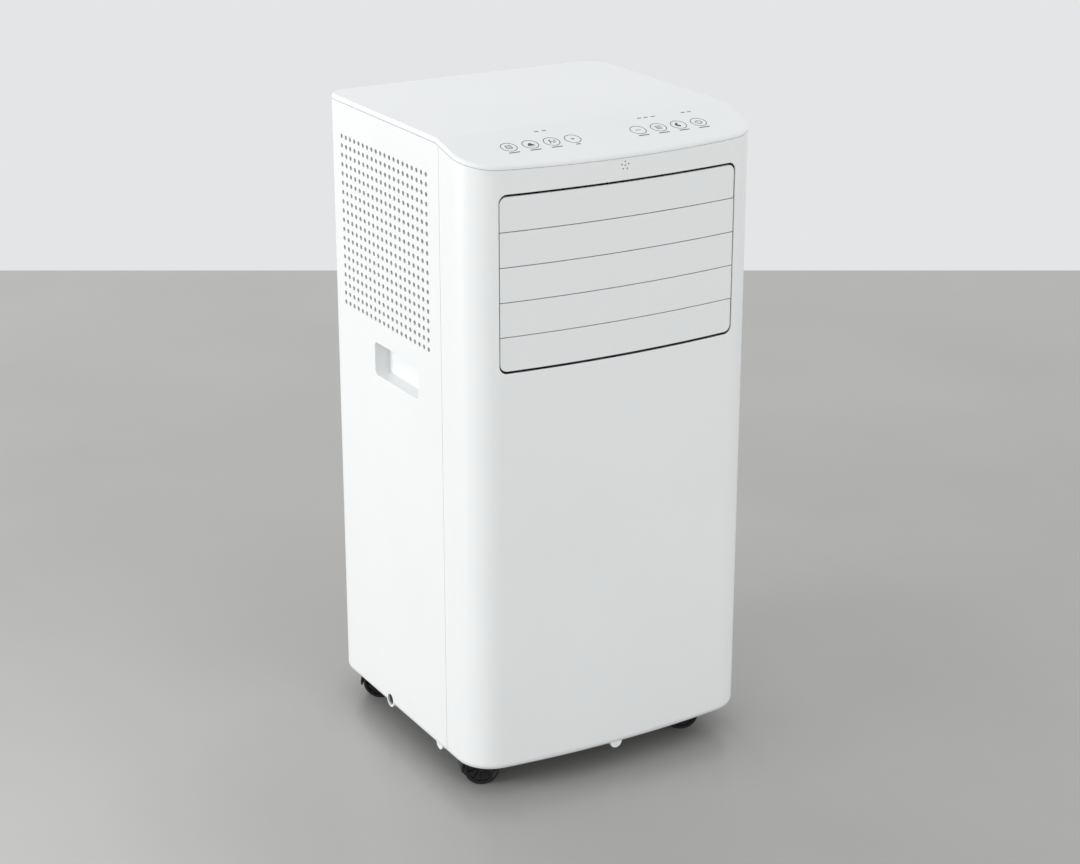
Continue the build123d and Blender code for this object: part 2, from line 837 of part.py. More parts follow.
# Vane link: a flat strip that keeps the vanes parallel.
with BuildPart() as vane_link:
    block(
        (
            vane_places[0] - vane_link_width,
            vane_link_y - vane_link_width / 2,
            vane_middle - vane_link_height / 2,
        ),
        (
            vane_places[-1] + vane_link_width,
            vane_link_y + vane_link_width / 2,
            vane_middle + vane_link_height / 2,
        ),
    )
    for x in vane_places:
        rod(
            (x, vane_link_y, vane_middle - vane_link_height),
            vane_link_pin + running_gap,
            2 * vane_link_height,
            mode=Mode.SUBTRACT,
        )
save(vane_link.part, "vane_link")

# ======== upper compartment: cooling side ========

deck_rear = upper_coil_front + upper_coil_thickness + deck_rear_room
upper_coil_low = deck_high
upper_coil_high = frame_high
suction_x = -(deck_half_width + frame_outer_half) / 2
suction_y = upper_coil_front + upper_coil_thickness / 2


def coil_rows(low, high):
    """Number of tube rows in a coil, and the level of the lowest."""
    rows = int((high - low) / coil_tube_pitch)
    return rows, (low + high) / 2 - (rows - 1) * coil_tube_pitch / 2


# Deck: tray that carries the cooling coil and the blower box, on the side panels' ledges.
with BuildPart() as drain_deck:
    block((-deck_half_width, blower_front, deck_low), (deck_half_width, deck_rear, deck_high))
    for side in (-1, 1):
        ends = sorted((side * deck_half_width, side * (deck_half_width - tray_wall)))
        block((ends[0], blower_front, deck_high), (ends[1], deck_rear, deck_high + deck_rim))
    block(
        (-deck_half_width, deck_rear - tray_wall, deck_high),
        (deck_half_width, deck_rear, deck_high + deck_rim),
    )
    rod(
        (suction_x, suction_y, deck_low - clear),
        pipe_radius + clear,
        deck_thickness + 2 * clear,
        mode=Mode.SUBTRACT,
    )
save(drain_deck.part, "drain_deck")

# Blower box: carries air from the wheel to the outlet frame. Its struts hold the motor.
upper_inlet = upper_wheel_radius - inlet_lap
upper_motor_front = upper_wheel_front - motor_gap - upper_motor_length
strut_y = upper_motor_front + upper_motor_length / 2
strut_x = upper_motor_radius + strut_width / 2
with BuildPart() as blower_box:
    block(
        (-frame_outer_half, blower_front, frame_low - frame_wall),
        (frame_outer_half, blower_rear, frame_high + frame_wall),
    )
    block(
        (-frame_half, blower_front - clear, frame_low),
        (frame_half, blower_rear - blower_wall, frame_high),
        Mode.SUBTRACT,
    )
    rod(
        (0, blower_rear - 2 * blower_wall, upper_axis),
        upper_inlet,
        4 * blower_wall,
        ALONG_Y,
        Mode.SUBTRACT,
    )
    for side in (-1, 1):
        x = side * strut_x
        block(
            (x - strut_width / 2, strut_y - strut_width / 2, frame_low),
            (x + strut_width / 2, strut_y + strut_width / 2, frame_high),
        )
save(blower_box.part, "blower_box")


def blower_wheel(x, front, level, radius, depth):
    """Squirrel-cage wheel: back disc with a hub, a ring of blades and a rim."""
    blade_ring = radius - blade_chord / 2 - blade_rim
    with BuildPart() as wheel:
        rod((x, front, level), radius, wheel_disc, ALONG_Y)
        rod((x, front, level), 3 * shaft_radius, depth / 2, ALONG_Y)
        rod((x, front + depth - wheel_disc, level), radius, wheel_disc, ALONG_Y)
        rod(
            (x, front + depth - 2 * wheel_disc, level),
            radius - blade_chord,
            3 * wheel_disc,
            ALONG_Y,
            Mode.SUBTRACT,
        )
        with Locations(Location((x, front + depth / 2, level), ALONG_Y)):
            with PolarLocations(blade_ring, blade_count):
                Box(blade_chord, blade_thickness, depth - wheel_disc, rotation=(0, 0, blade_angle))
        rod((x, front - clear, level), shaft_radius + hub_fit_gap, depth, ALONG_Y, Mode.SUBTRACT)
    return wheel.part


def fan_motor(x, front, level, radius, length):
    """Round motor with a shaft hole in its rear half."""
    with BuildPart() as motor:
        rod((x, front, level), radius, length, ALONG_Y)
        fillet(motor.edges().filter_by(GeomType.CIRCLE), radius=radius / 6)
        rod(
            (x, front + length / 2, level),
            shaft_radius + running_gap,
            length,
            ALONG_Y,
            Mode.SUBTRACT,
        )
    return motor.part


def fan_shaft(x, start, level, end):
    """Round steel shaft from the middle of a motor to its wheel's hub."""
    with BuildPart() as shaft:
        rod((x, start, level), shaft_radius, end - start, ALONG_Y)
    return shaft.part


cooling_wheel = blower_wheel(0, upper_wheel_front, upper_axis, upper_wheel_radius, upper_wheel_depth)
save(cooling_wheel, "cooling_blower_wheel")
cooling_motor = fan_motor(0, upper_motor_front, upper_axis, upper_motor_radius, upper_motor_length)
save(cooling_motor, "cooling_blower_motor")
cooling_shaft = fan_shaft(
    0,
    strut_y + 2 * running_gap,
    upper_axis,
    upper_wheel_front + upper_wheel_depth / 2,
)
save(cooling_shaft, "cooling_blower_shaft")


def coil(half_width, front, thickness, low, high):
    """Finned coil: core, an end plate each side and two rows of return bends."""
    core_half = half_width - coil_bend_room
    rows, start = coil_rows(low, high)
    with BuildPart() as body:
        block((-core_half, front, low), (core_half, front + thickness, high))
        for groove in range(int(2 * core_half / coil_groove_pitch)):
            x = -core_half + (groove + 0.5) * coil_groove_pitch
            block(
                (x - coil_groove / 2, front + thickness - coil_groove_depth, low - clear),
                (x + coil_groove / 2, front + thickness + clear, high + clear),
                Mode.SUBTRACT,
            )
        for row in range(0, rows - 1, 2):
            level = start + (row + 0.5) * coil_tube_pitch
            for side in (-1, 1):
                with Locations(Location((side * core_half, front + thickness / 2, level), ALONG_Y)):
                    Torus(coil_tube_pitch / 2, coil_tube_radius)
    return body.part


cooling_coil = coil(
    frame_outer_half, upper_coil_front, upper_coil_thickness, upper_coil_low, upper_coil_high
)
save(cooling_coil, "cooling_coil")

# Filter cover: framed grille with a finger notch, and the net it carries.
cover_slot_pitch = (filter_cover_width - 4 * filter_frame) / 2 + filter_frame
cover_slot_length = cover_slot_pitch - filter_frame
with BuildPart() as filter_cover:
    with BuildSketch(Plane.XZ.offset(-rear_y)):
        with Locations((0, filter_cover_level)):
            RectangleRounded(
                filter_cover_width - 2 * seam_gap,
                filter_cover_height - 2 * seam_gap,
                outlet_corner - seam_gap,
            )
            with GridLocations(cover_slot_pitch, slot_pitch, 2, filter_slot_rows):
                SlotOverall(cover_slot_length, slot_height, mode=Mode.SUBTRACT)
        with Locations((0, filter_cover_level + filter_cover_height / 2)):
            Circle(finger_notch, mode=Mode.SUBTRACT)
    extrude(amount=wall)
    with BuildSketch(Plane.XZ.offset(-inner_rear_y)):
        with Locations((0, filter_cover_level)):
            Rectangle(filter_cover_width - 2 * filter_rim, filter_cover_height - 2 * filter_rim)
            Rectangle(
                filter_cover_width - 2 * filter_rim - 2 * wall,
                filter_cover_height - 2 * filter_rim - 2 * wall,
                mode=Mode.SUBTRACT,
            )
    extrude(amount=filter_rim_depth)
save(filter_cover.part, "filter_cover")

with BuildPart() as rear_filter_net:
    with BuildSketch(Plane.XZ.offset(-inner_rear_y + net_set_in)):
        with Locations((0, filter_cover_level)):
            Rectangle(
                filter_cover_width - 2 * filter_rim - 2 * wall,
                filter_cover_height - 2 * filter_rim - 2 * wall,
            )
    extrude(amount=net_thickness)
save(rear_filter_net.part, "rear_filter_net")

# Side nets: framed dust filters behind the intake holes, one each side.
net_outer = side_x - wall - net_set_in
net_low_y = intake_middle_y - net_length / 2
net_low_z = intake_middle_z - net_height / 2
net_high_y = net_low_y + net_length
net_high_z = net_low_z + net_height
with BuildPart() as side_filter_nets:
    for side in (-1, 1):
        rails = sorted((side * (side_x - wall), side * (side_x - wall - net_frame_depth)))
        net = sorted((side * net_outer, side * (net_outer - net_thickness)))
        block((rails[0], net_low_y, net_low_z), (rails[1], net_high_y, net_high_z))
        block(
            (rails[0] - clear, net_low_y + net_rail, net_low_z + net_rail),
            (rails[1] + clear, net_high_y - net_rail, net_high_z - net_rail),
            Mode.SUBTRACT,
        )
        block(
            (net[0], net_low_y + net_rail, net_low_z + net_rail),
            (net[1], net_high_y - net_rail, net_high_z - net_rail),
        )
save(side_filter_nets.part, "side_filter_nets")

# ======== lower compartment: heat side ========

duct_high = deck_low
scroll_rear = scroll_front + scroll_depth
collar_inner_y = rear_y - collar_length
lower_inlet = lower_wheel_radius - inlet_lap
lower_wheel_front = scroll_front + (scroll_depth - lower_wheel_depth) / 2
lower_motor_front = scroll_front - lower_motor_length
scroll_outlet_left = scroll_x + scroll_outlet_start
scroll_outlet_right = scroll_x + scroll_radius
scroll_outlet_x = (scroll_outlet_left + scroll_outlet_right) / 2

# Scroll housing of the heat blower: inlet at the rear, outlet at the top, foot on the tray.
with BuildPart() as heat_scroll:
    with BuildSketch(Plane.XZ.offset(-scroll_front)):
        with Locations((scroll_x, scroll_level)):
            Circle(scroll_radius)
        with Locations((scroll_outlet_x, (scroll_level + duct_low) / 2)):
            Rectangle(scroll_outlet_right - scroll_outlet_left, duct_low - scroll_level)
        with Locations((scroll_x, (tray_top + scroll_level) / 2)):
            Rectangle(scroll_foot, scroll_level - tray_top)
    extrude(amount=-scroll_depth)
    with BuildSketch(Plane.XZ.offset(-scroll_front - scroll_wall)):
        with Locations((scroll_x, scroll_level)):
            Circle(scroll_radius - scroll_wall)
        with Locations((scroll_outlet_x, (scroll_level + duct_low + clear) / 2)):
            Rectangle(
                scroll_outlet_right - scroll_outlet_left - 2 * scroll_wall,
                duct_low + clear - scroll_level,
            )
    extrude(amount=-(scroll_depth - 2 * scroll_wall), mode=Mode.SUBTRACT)
    inlet_start = (scroll_x, scroll_rear - 2 * scroll_wall, scroll_level)
    rod(inlet_start, lower_inlet, 4 * scroll_wall, ALONG_Y, Mode.SUBTRACT)
    shaft_hole_start = (scroll_x, scroll_front - clear, scroll_level)
    rod(shaft_hole_start, 3 * shaft_radius, 2 * scroll_wall, ALONG_Y, Mode.SUBTRACT)
save(heat_scroll.part, "heat_scroll")

heat_wheel = blower_wheel(
    scroll_x, lower_wheel_front, scroll_level, lower_wheel_radius, lower_wheel_depth
)
save(heat_wheel, "heat_blower_wheel")
heat_motor = fan_motor(
    scroll_x, lower_motor_front, scroll_level, lower_motor_radius, lower_motor_length
)
save(heat_motor, "heat_blower_motor")
heat_shaft = fan_shaft(
    scroll_x,
    lower_motor_front + lower_motor_length / 2 + 2 * running_gap,
    scroll_level,
    lower_wheel_front + lower_wheel_depth / 2,
)
save(heat_shaft, "heat_blower_shaft")

# Exhaust duct: box from the scroll's outlet to the hose collar.
duct_left = -collar_bore - duct_margin
duct_right = scroll_outlet_right
with BuildPart() as exhaust_duct:
    block((duct_left, scroll_front, duct_low), (duct_right, collar_inner_y, duct_high))
    block(
        (duct_left + scroll_wall, scroll_front + scroll_wall, duct_low + scroll_wall),
        (duct_right - scroll_wall, collar_inner_y - scroll_wall, duct_high - scroll_wall),
        Mode.SUBTRACT,
    )
    block(
        (scroll_outlet_left + scroll_wall, scroll_front + scroll_wall, duct_low - clear),
        (duct_right - scroll_wall, scroll_rear - scroll_wall, duct_low + 2 * scroll_wall),
        Mode.SUBTRACT,
    )
    rod(
        (0, collar_inner_y - 2 * scroll_wall, collar_level),
        collar_bore + scroll_wall,
        4 * scroll_wall,
        ALONG_Y,
        Mode.SUBTRACT,
    )
save(exhaust_duct.part, "exhaust_duct")

# Exhaust collar: round socket for the hose, held by its flange behind the rear panel.
with BuildPart() as exhaust_collar:
    rod((0, collar_inner_y, collar_level), collar_outer, collar_length, ALONG_Y)
    rod(
        (0, inner_rear_y - collar_flange_thickness, collar_level),
        collar_outer + collar_flange,
        collar_flange_thickness,
        ALONG_Y,
    )
    bore_start = (0, collar_inner_y - clear, collar_level)
    rod(bore_start, collar_bore, collar_length + 2 * clear, ALONG_Y, Mode.SUBTRACT)
save(exhaust_collar.part, "exhaust_collar")

heat_coil = coil(
    lower_coil_half_width, lower_coil_front, lower_coil_thickness, lower_coil_low, lower_coil_high
)
save(heat_coil, "heat_coil")

# Compressor: welded round shell with domed ends on a three-armed foot plate.
compressor_low = tray_top + mount_height + foot_plate
with BuildPart() as compressor:
    rod((compressor_x, compressor_y, compressor_low), compressor_radius, compressor_height)
    fillet(compressor.edges().filter_by(GeomType.CIRCLE), radius=compressor_round)
    with BuildSketch(Plane.XY.offset(tray_top + mount_height)):
        with Locations((compressor_x, compressor_y)):
            with PolarLocations(mount_circle, 3):
                Circle(mount_radius + foot_margin)
        make_hull()
        with Locations((compressor_x, compressor_y)):
            with PolarLocations(mount_circle, 3):
                Circle(stem_radius, mode=Mode.SUBTRACT)
    extrude(amount=foot_plate)
save(compressor.part, "compressor")

# Rubber mounts under the compressor's foot plate.
with BuildPart() as compressor_mounts:
    with BuildSketch(Plane.XY.offset(tray_top)):
        with Locations((compressor_x, compressor_y)):
            with PolarLocations(mount_circle, 3):
                Circle(mount_radius)
    extrude(amount=mount_height)
save(compressor_mounts.part, "compressor_mounts")

# Accumulator: small round vessel beside the compressor, on a bracket from its shell.
accumulator_high = accumulator_low + accumulator_height
with BuildPart() as accumulator:
    rod((compressor_x, accumulator_y, accumulator_low), accumulator_radius, accumulator_height)
    fillet(accumulator.edges().filter_by(GeomType.CIRCLE), radius=accumulator_radius / 2)
    block(
        (
            compressor_x - bracket_width / 2,
            accumulator_y + accumulator_radius - lap,
            accumulator_low + bracket_level,
        ),
        (
            compressor_x + bracket_width / 2,
            compressor_y - compressor_radius,
            accumulator_low + bracket_level + bracket_width,
        ),
    )
save(accumulator.part, "accumulator")


def pipe(points):
    """Round pipe through points, with a bend at each inner one."""
    start = Vector(points[0])
    with BuildPart() as tube:
        with BuildLine() as route:
            FilletPolyline(*points, radius=pipe_bend)
        with BuildSketch(Plane(origin=start, z_dir=Vector(points[1]) - start)):
            Circle(pipe_radius)
        sweep(path=route.line)
    return tube.part


discharge_x = compressor_x - compressor_radius / 3
discharge_top = lower_coil_high - pipe_bend
suction_level = compressor_low + compressor_height + suction_rise
suction_top = coil_rows(upper_coil_low, upper_coil_high)[1] + 1.5 * coil_tube_pitch
discharge_pipe = pipe(
    [
        (discharge_x, compressor_y, compressor_low + compressor_height),
        (discharge_x, compressor_y, discharge_top),
        (discharge_x, lower_coil_front, discharge_top),
    ]
)
suction_pipe = pipe(
    [
        (compressor_x, accumulator_y, accumulator_high),
        (compressor_x, accumulator_y, suction_level),
        (suction_x, accumulator_y, suction_level),
        (suction_x, suction_y, suction_level),
        (suction_x, suction_y, suction_top),
        (coil_bend_room - frame_outer_half, suction_y, suction_top),
    ]
)
with BuildPart() as refrigerant_pipes:
    add(discharge_pipe)
    add(suction_pipe)
save(refrigerant_pipes.part, "refrigerant_pipes")

# ======== base, drains and casters ========

# Base tray: floor with raised caster wells, an edge wall and coil ribs.
tray_wall_top = base_low + tray_height
with BuildPart() as tray_outside:
    add(casing_block(wall + fit_gap, base_low, tray_wall_top))
    fillet(tray_outside.faces().sort_by(Axis.Z)[0].edges(), radius=foot_round - wall)
tray_hollow = casing_block(wall + fit_gap + tray_wall, tray_top, tray_wall_top + clear)
stem_seat = well_roof + stem_seat_floor
with BuildPart() as base_tray:
    add(tray_outside.part)
    add(tray_hollow, mode=Mode.SUBTRACT)
    for x, y, turn in caster_places.values():
        rod((x, y, base_low), well_radius + well_wall, stem_seat - base_low)
        rod((x, y, base_low), hub_radius, hub_height + stem_length + stem_seat_floor - base_low)
    # trim whatever stands outside the edge wall
    add(tray_outside.part, mode=Mode.INTERSECT)
    for x, y, turn in caster_places.values():
        well_start = (x, y, base_low - clear)
        rod(well_start, well_radius, well_roof - base_low + clear, mode=Mode.SUBTRACT)
        stem_start = (x, y, well_roof - clear)
        rod(stem_start, stem_radius + running_gap, stem_length + clear, mode=Mode.SUBTRACT)
    for x in (-coil_rib_x, coil_rib_x):
        block(
            (x - tray_wall, lower_coil_front, tray_top - lap),
            (x + tray_wall, lower_coil_front + lower_coil_thickness, lower_coil_low),
        )
    # seat of the lower drain
    drain_start = (-side_x, drain_y, drain_level)
    rod(drain_start, drain_bore + drain_wall, drain_length, ALONG_X, Mode.SUBTRACT)
save(base_tray.part, "base_tray")

# Lower drain: short spout through the tray's edge, closed by a rubber plug.
with BuildPart() as drain_spout:
    rod(drain_start, drain_bore + drain_wall, drain_length, ALONG_X)
    bore_start = (-side_x - clear, drain_y, drain_level)
    rod(bore_start, drain_bore, drain_length + 2 * clear, ALONG_X, Mode.SUBTRACT)
save(drain_spout.part, "drain_spout")

with BuildPart() as drain_plug:
    rod((plug_inset - side_x, drain_y, drain_level), drain_bore - plug_gap, plug_length, ALONG_X)
    fillet(drain_plug.edges().filter_by(GeomType.CIRCLE), radius=plug_round)
save(drain_plug.part, "lower_drain_plug")

# Upper drain: spout behind the rear panel at the level of the deck, and its plug.
upper_drain_inner = rear_y - drain_length
with BuildPart() as upper_drain_spout:
    spout_start = (upper_drain_x, upper_drain_inner, upper_drain_z)
    rod(spout_start, drain_bore + drain_wall, drain_length, ALONG_Y)
    block(
        (upper_drain_x - drain_bore, deck_rear, upper_drain_z),
        (upper_drain_x + drain_bore, upper_drain_inner + 2 * drain_floor, deck_low),
    )
    bore_start = (upper_drain_x, upper_drain_inner + drain_floor, upper_drain_z)
    rod(bore_start, drain_bore, drain_length, ALONG_Y, Mode.SUBTRACT)
save(upper_drain_spout.part, "upper_drain_spout")

with BuildPart() as upper_drain_plug:
    plug_start = (upper_drain_x, rear_y - plug_inset - plug_length, upper_drain_z)
    rod(plug_start, drain_bore - plug_gap, plug_length, ALONG_Y)
    fillet(upper_drain_plug.edges().filter_by(GeomType.CIRCLE), radius=plug_round)
save(upper_drain_plug.part, "upper_drain_plug")


def caster_fork(place):
    """Fork of a twin-wheel caster: fender over both wheels, middle web, hub and steel stem."""
    fender_inner = wheel_radius + fender_gap
    fender_outer = fender_inner + fender_thickness
    full_width = 2 * wheel_outer
    with BuildPart(place) as fork:
        with Locations((0, -caster_trail, wheel_radius)):
            Cylinder(fender_outer, full_width, rotation=ALONG_X)
        rod((0, 0, wheel_radius), hub_radius, hub_height - wheel_radius)
        with Locations((0, -caster_trail, wheel_radius)):
            Cylinder(fender_inner, full_width + clear, rotation=ALONG_X, mode=Mode.SUBTRACT)
        with Locations((0, -caster_trail, fender_low - wheel_radius)):
            Box(full_width + clear, 3 * fender_outer, 2 * wheel_radius, mode=Mode.SUBTRACT)
        with Locations((0, -caster_trail, wheel_radius)):
            Cylinder(fender_inner + fender_thickness / 2, caster_web, rotation=ALONG_X)
        with Locations((0, -caster_trail, web_floor_gap - wheel_radius)):
            Box(full_width, 3 * fender_outer, 2 * wheel_radius, mode=Mode.SUBTRACT)
        with Locations((0, -caster_trail, wheel_radius)):
            Cylinder(axle_radius + running_gap, full_width, rotation=ALONG_X, mode=Mode.SUBTRACT)
        rod((0, 0, hub_height - lap), stem_radius, stem_length + lap)
    return fork.part


def caster_wheels(place):
    """Pair of wheels on one axle, which turn together."""
    wheel_middle = caster_web / 2 + caster_side_gap + wheel_width / 2
    with BuildPart(place) as wheels:
        for side in (-1, 1):
            with Locations((side * wheel_middle, -caster_trail, wheel_radius)):
                Cylinder(wheel_radius, wheel_width, rotation=ALONG_X)
        chamfer(wheels.edges().filter_by(GeomType.CIRCLE), length=wheel_chamfer)
        with Locations((0, -caster_trail, wheel_radius)):
            Cylinder(axle_radius, 2 * wheel_middle, rotation=ALONG_X)
    return wheels.part


for name, (x, y, turn) in caster_places.items():
    caster_plane = Plane((x, y, 0)).rotated((0, 0, turn))
    save(caster_fork(caster_plane), "caster_fork_" + name)
    save(caster_wheels(caster_plane), "caster_wheels_" + name)

# ======== controls and electrics ========

# Circuit board of the controls, parallel to the sloping band and hung under it.
touch_y = front_y + touch_setback
band_face = Plane(
    origin=(0, touch_y, overall_height + (touch_y - crease_y) * band_slope),
    x_dir=(1, 0, 0),
    z_dir=(0, -band_slope, 1),
)
board_face = band_face.offset(-wall - pad_height)
with BuildPart() as control_board:
    with BuildSketch(board_face):
        Rectangle(board_width, board_depth)
    extrude(amount=-board_thickness)
save(control_board.part, "control_board")

touch_places = [
    middle + (step - 1.5) * touch_spacing
    for middle in (touch_left_middle, touch_right_middle)
    for step in range(4)
]
with BuildPart() as touch_pads:
    with BuildSketch(board_face):
        with Locations(*[(x, 0) for x in touch_places]):
            Circle(pad_radius)
    extrude(amount=pad_height)
save(touch_pads.part, "touch_pads")

# Sounder: small round can on a post, behind the holes in the front.
sounder_front = front_y + wall + 2 * fit_gap + tongue_thickness
with BuildPart() as sounder:
    rod((0, sounder_front, sound_level), sounder_radius, sounder_length, ALONG_Y)
    block(
        (-sounder_radius / 2, sounder_front, frame_high + frame_wall),
        (sounder_radius / 2, sounder_front + sounder_length, sound_level),
    )
save(sounder.part, "sounder")

# Control box: sheet metal box hung from the deck, with the run capacitor at its side.
box_left = control_box_x - control_box_width / 2
box_front = blower_front + wall
with BuildPart() as control_box:
    block(
        (box_left, box_front, deck_low - control_box_height),
        (box_left + control_box_width, box_front + control_box_depth, deck_low),
    )
    block(
        (
            box_left + control_box_wall,
            box_front + control_box_wall,
            deck_low - control_box_height + control_box_wall,
        ),
        (
            box_left + control_box_width - control_box_wall,
            box_front + control_box_depth - control_box_wall,
            deck_low - control_box_wall,
        ),
        Mode.SUBTRACT,
    )
save(control_box.part, "control_box")

with BuildPart() as run_capacitor:
    rod(
        (box_left - capacitor_radius, box_front + control_box_depth / 2, deck_low - capacitor_height),
        capacitor_radius,
        capacitor_height,
    )
save(run_capacitor.part, "run_capacitor")

# Inlet bush for the power cord, in the rear panel's lower corner.
with BuildPart() as cord_bush:
    flange_start = (gland_x, inner_rear_y - gland_length / 2, gland_z)
    rod(flange_start, gland_radius, gland_length / 2, ALONG_Y)
    rod((gland_x, inner_rear_y - lap, gland_z), gland_radius - wall, wall + lap, ALONG_Y)
    bore_start = (gland_x, rear_y - gland_length, gland_z)
    rod(bore_start, gland_bore, 2 * gland_length, ALONG_Y, Mode.SUBTRACT)
save(cord_bush.part, "cord_bush")
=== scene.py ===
import json
import math

import bmesh
import bpy
from mathutils import Matrix, Vector


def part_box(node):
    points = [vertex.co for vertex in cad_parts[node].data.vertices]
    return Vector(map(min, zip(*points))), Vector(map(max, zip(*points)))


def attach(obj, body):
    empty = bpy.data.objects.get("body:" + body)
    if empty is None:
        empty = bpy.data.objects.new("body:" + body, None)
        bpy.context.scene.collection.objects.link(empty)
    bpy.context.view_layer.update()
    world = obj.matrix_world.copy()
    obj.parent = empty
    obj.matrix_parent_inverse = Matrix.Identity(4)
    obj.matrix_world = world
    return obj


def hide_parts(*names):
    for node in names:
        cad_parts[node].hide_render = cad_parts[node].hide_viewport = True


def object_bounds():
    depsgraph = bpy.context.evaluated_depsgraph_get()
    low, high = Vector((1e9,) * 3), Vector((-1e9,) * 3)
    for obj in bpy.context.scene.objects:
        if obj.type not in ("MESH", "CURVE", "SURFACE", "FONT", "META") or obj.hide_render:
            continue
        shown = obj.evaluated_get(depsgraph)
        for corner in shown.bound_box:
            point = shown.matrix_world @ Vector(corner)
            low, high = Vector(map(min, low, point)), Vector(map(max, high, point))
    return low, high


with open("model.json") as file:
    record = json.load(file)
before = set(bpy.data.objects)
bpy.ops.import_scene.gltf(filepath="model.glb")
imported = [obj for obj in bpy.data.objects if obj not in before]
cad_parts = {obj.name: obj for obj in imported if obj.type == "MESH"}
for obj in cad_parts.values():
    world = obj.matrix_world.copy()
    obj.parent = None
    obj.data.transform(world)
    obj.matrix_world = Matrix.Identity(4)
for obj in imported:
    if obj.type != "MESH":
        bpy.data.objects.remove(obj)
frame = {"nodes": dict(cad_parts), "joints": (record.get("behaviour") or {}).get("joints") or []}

# ======== the room ========
# A plain sealed floor with a soft gloss under an even pale surround. One large soft lamp
# stands at the left, weaker ones in front, high up behind and at the right, and the camera
# looks down from the left of the front.

cad_low, cad_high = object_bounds()
mm = 0.001  # in metres
cloud_size = 454.5 * mm


def tone(value):
    """Linear colour of an sRGB hex value."""
    parts = [int(value[place : place + 2], 16) / 255 for place in (1, 3, 5)]
    linear = [p / 12.92 if p <= 0.04045 else ((p + 0.055) / 1.055) ** 2.4 for p in parts]
    return (*linear, 1.0)


def blank(name):
    """Material with an empty node tree."""
    material = bpy.data.materials.new(name)
    material.use_nodes = True
    material.node_tree.nodes.clear()
    return material


def node(tree, kind, inputs=None, **settings):
    """Adds a node, with its settings, its input values and the links into it."""
    made = tree.nodes.new(kind)
    for name, value in settings.items():
        setattr(made, name, value)
    for name, value in (inputs or {}).items():
        if isinstance(value, bpy.types.NodeSocket):
            tree.links.new(value, made.inputs[name])
        else:
            made.inputs[name].default_value = value
    return made


def floor_paint():
    """Sealed pale floor: even grey with faint clouds and a soft gloss."""
    material = blank("sealed_floor")
    tree = material.node_tree
    place = node(tree, "ShaderNodeTexCoord").outputs["Object"]
    clouds = node(tree, "ShaderNodeTexNoise", {"Vector": place, "Scale": 1 / cloud_size, "Detail": 6.0})
    colour = node(
        tree,
        "ShaderNodeMixRGB",
        {"Fac": clouds.outputs["Fac"], "Color1": tone("#A0A09D"), "Color2": tone("#AFAFAC")},
    )
    shader = node(
        tree,
        "ShaderNodeBsdfPrincipled",
        {"Base Color": colour.outputs["Color"], "Roughness": 0.26, "IOR": 1.45},
    )
    node(tree, "ShaderNodeOutputMaterial", {"Surface": shader.outputs["BSDF"]})
    return material


floor_reach = 6.0
wall_distance = 1.75  # object's middle to where the floor ends
camera_turn = -29.99  # about the vertical, in degrees
camera_tilt = -20.13
camera_place = (-1.2128, -2.0999, 1.2184)

mesh = bmesh.new()
bmesh.ops.create_grid(mesh, x_segments=1, y_segments=1, size=floor_reach)
bmesh.ops.translate(mesh, verts=mesh.verts, vec=(0, wall_distance - floor_reach, 0))
bmesh.ops.rotate(mesh, verts=mesh.verts, matrix=Matrix.Rotation(math.radians(camera_turn), 3, "Z"))
floor_mesh = bpy.data.meshes.new("floor")
mesh.to_mesh(floor_mesh)
mesh.free()
floor = bpy.data.objects.new("floor", floor_mesh)
bpy.context.scene.collection.objects.link(floor)
floor_mesh.materials.append(floor_paint())

surround = bpy.data.worlds.new("surround")
surround.use_nodes = True
background = surround.node_tree.nodes["Background"]
background.inputs["Color"].default_value = tone("#E4E5E6")
background.inputs["Strength"].default_value = 1.0
bpy.context.scene.world = surround
bpy.context.scene.view_settings.view_transform = "Standard"

middle = (cad_low + cad_high) / 2
for name, direction, distance, size, power in (
    ("key_lamp", (-0.93, 0.20, 0.16), 3.2, 1.8, 50.0),
    ("front_lamp", (0.12, -0.98, 0.12), 4.0, 1.4, 30.0),
    ("top_lamp", (0.0, 0.80, 0.60), 4.0, 2.0, 26.0),
    ("right_lamp", (0.95, 0.30, 0.20), 3.5, 2.0, 5.0),
):
    lamp = bpy.data.lights.new(name, "AREA")
    lamp.shape = "DISK"
    lamp.size = size
    lamp.energy = power
    lit_from = Vector(direction).normalized()
    holder = bpy.data.objects.new(name, lamp)
    holder.location = middle + lit_from * distance
    holder.rotation_euler = lit_from.to_track_quat("Z", "Y").to_euler()
    # the lamp in front would show as a white disc in the floor's gloss from behind
    holder.visible_glossy = name != "front_lamp"
    bpy.context.scene.collection.objects.link(holder)

camera = bpy.data.cameras.new("camera")
camera.lens = 79.8
camera.sensor_width = 36.0
viewer = bpy.data.objects.new("camera", camera)
viewer.location = camera_place
viewer.rotation_euler = (math.radians(90 + camera_tilt), 0, math.radians(camera_turn))
bpy.context.scene.collection.objects.link(viewer)
bpy.context.scene.camera = viewer

# ======== casing panels ========
# Front, side and rear panels, top cover, filter cover, hose collar and drain spouts, all
# injection moulded in cool white ABS. The tool's fine spark-eroded grain gives them a satin
# face with soft highlights. Six screws hold the rear panel.

grain_relief = 0.02 * mm
flow_size = 142.9 * mm  # how far apart the melt's faint changes of colour are


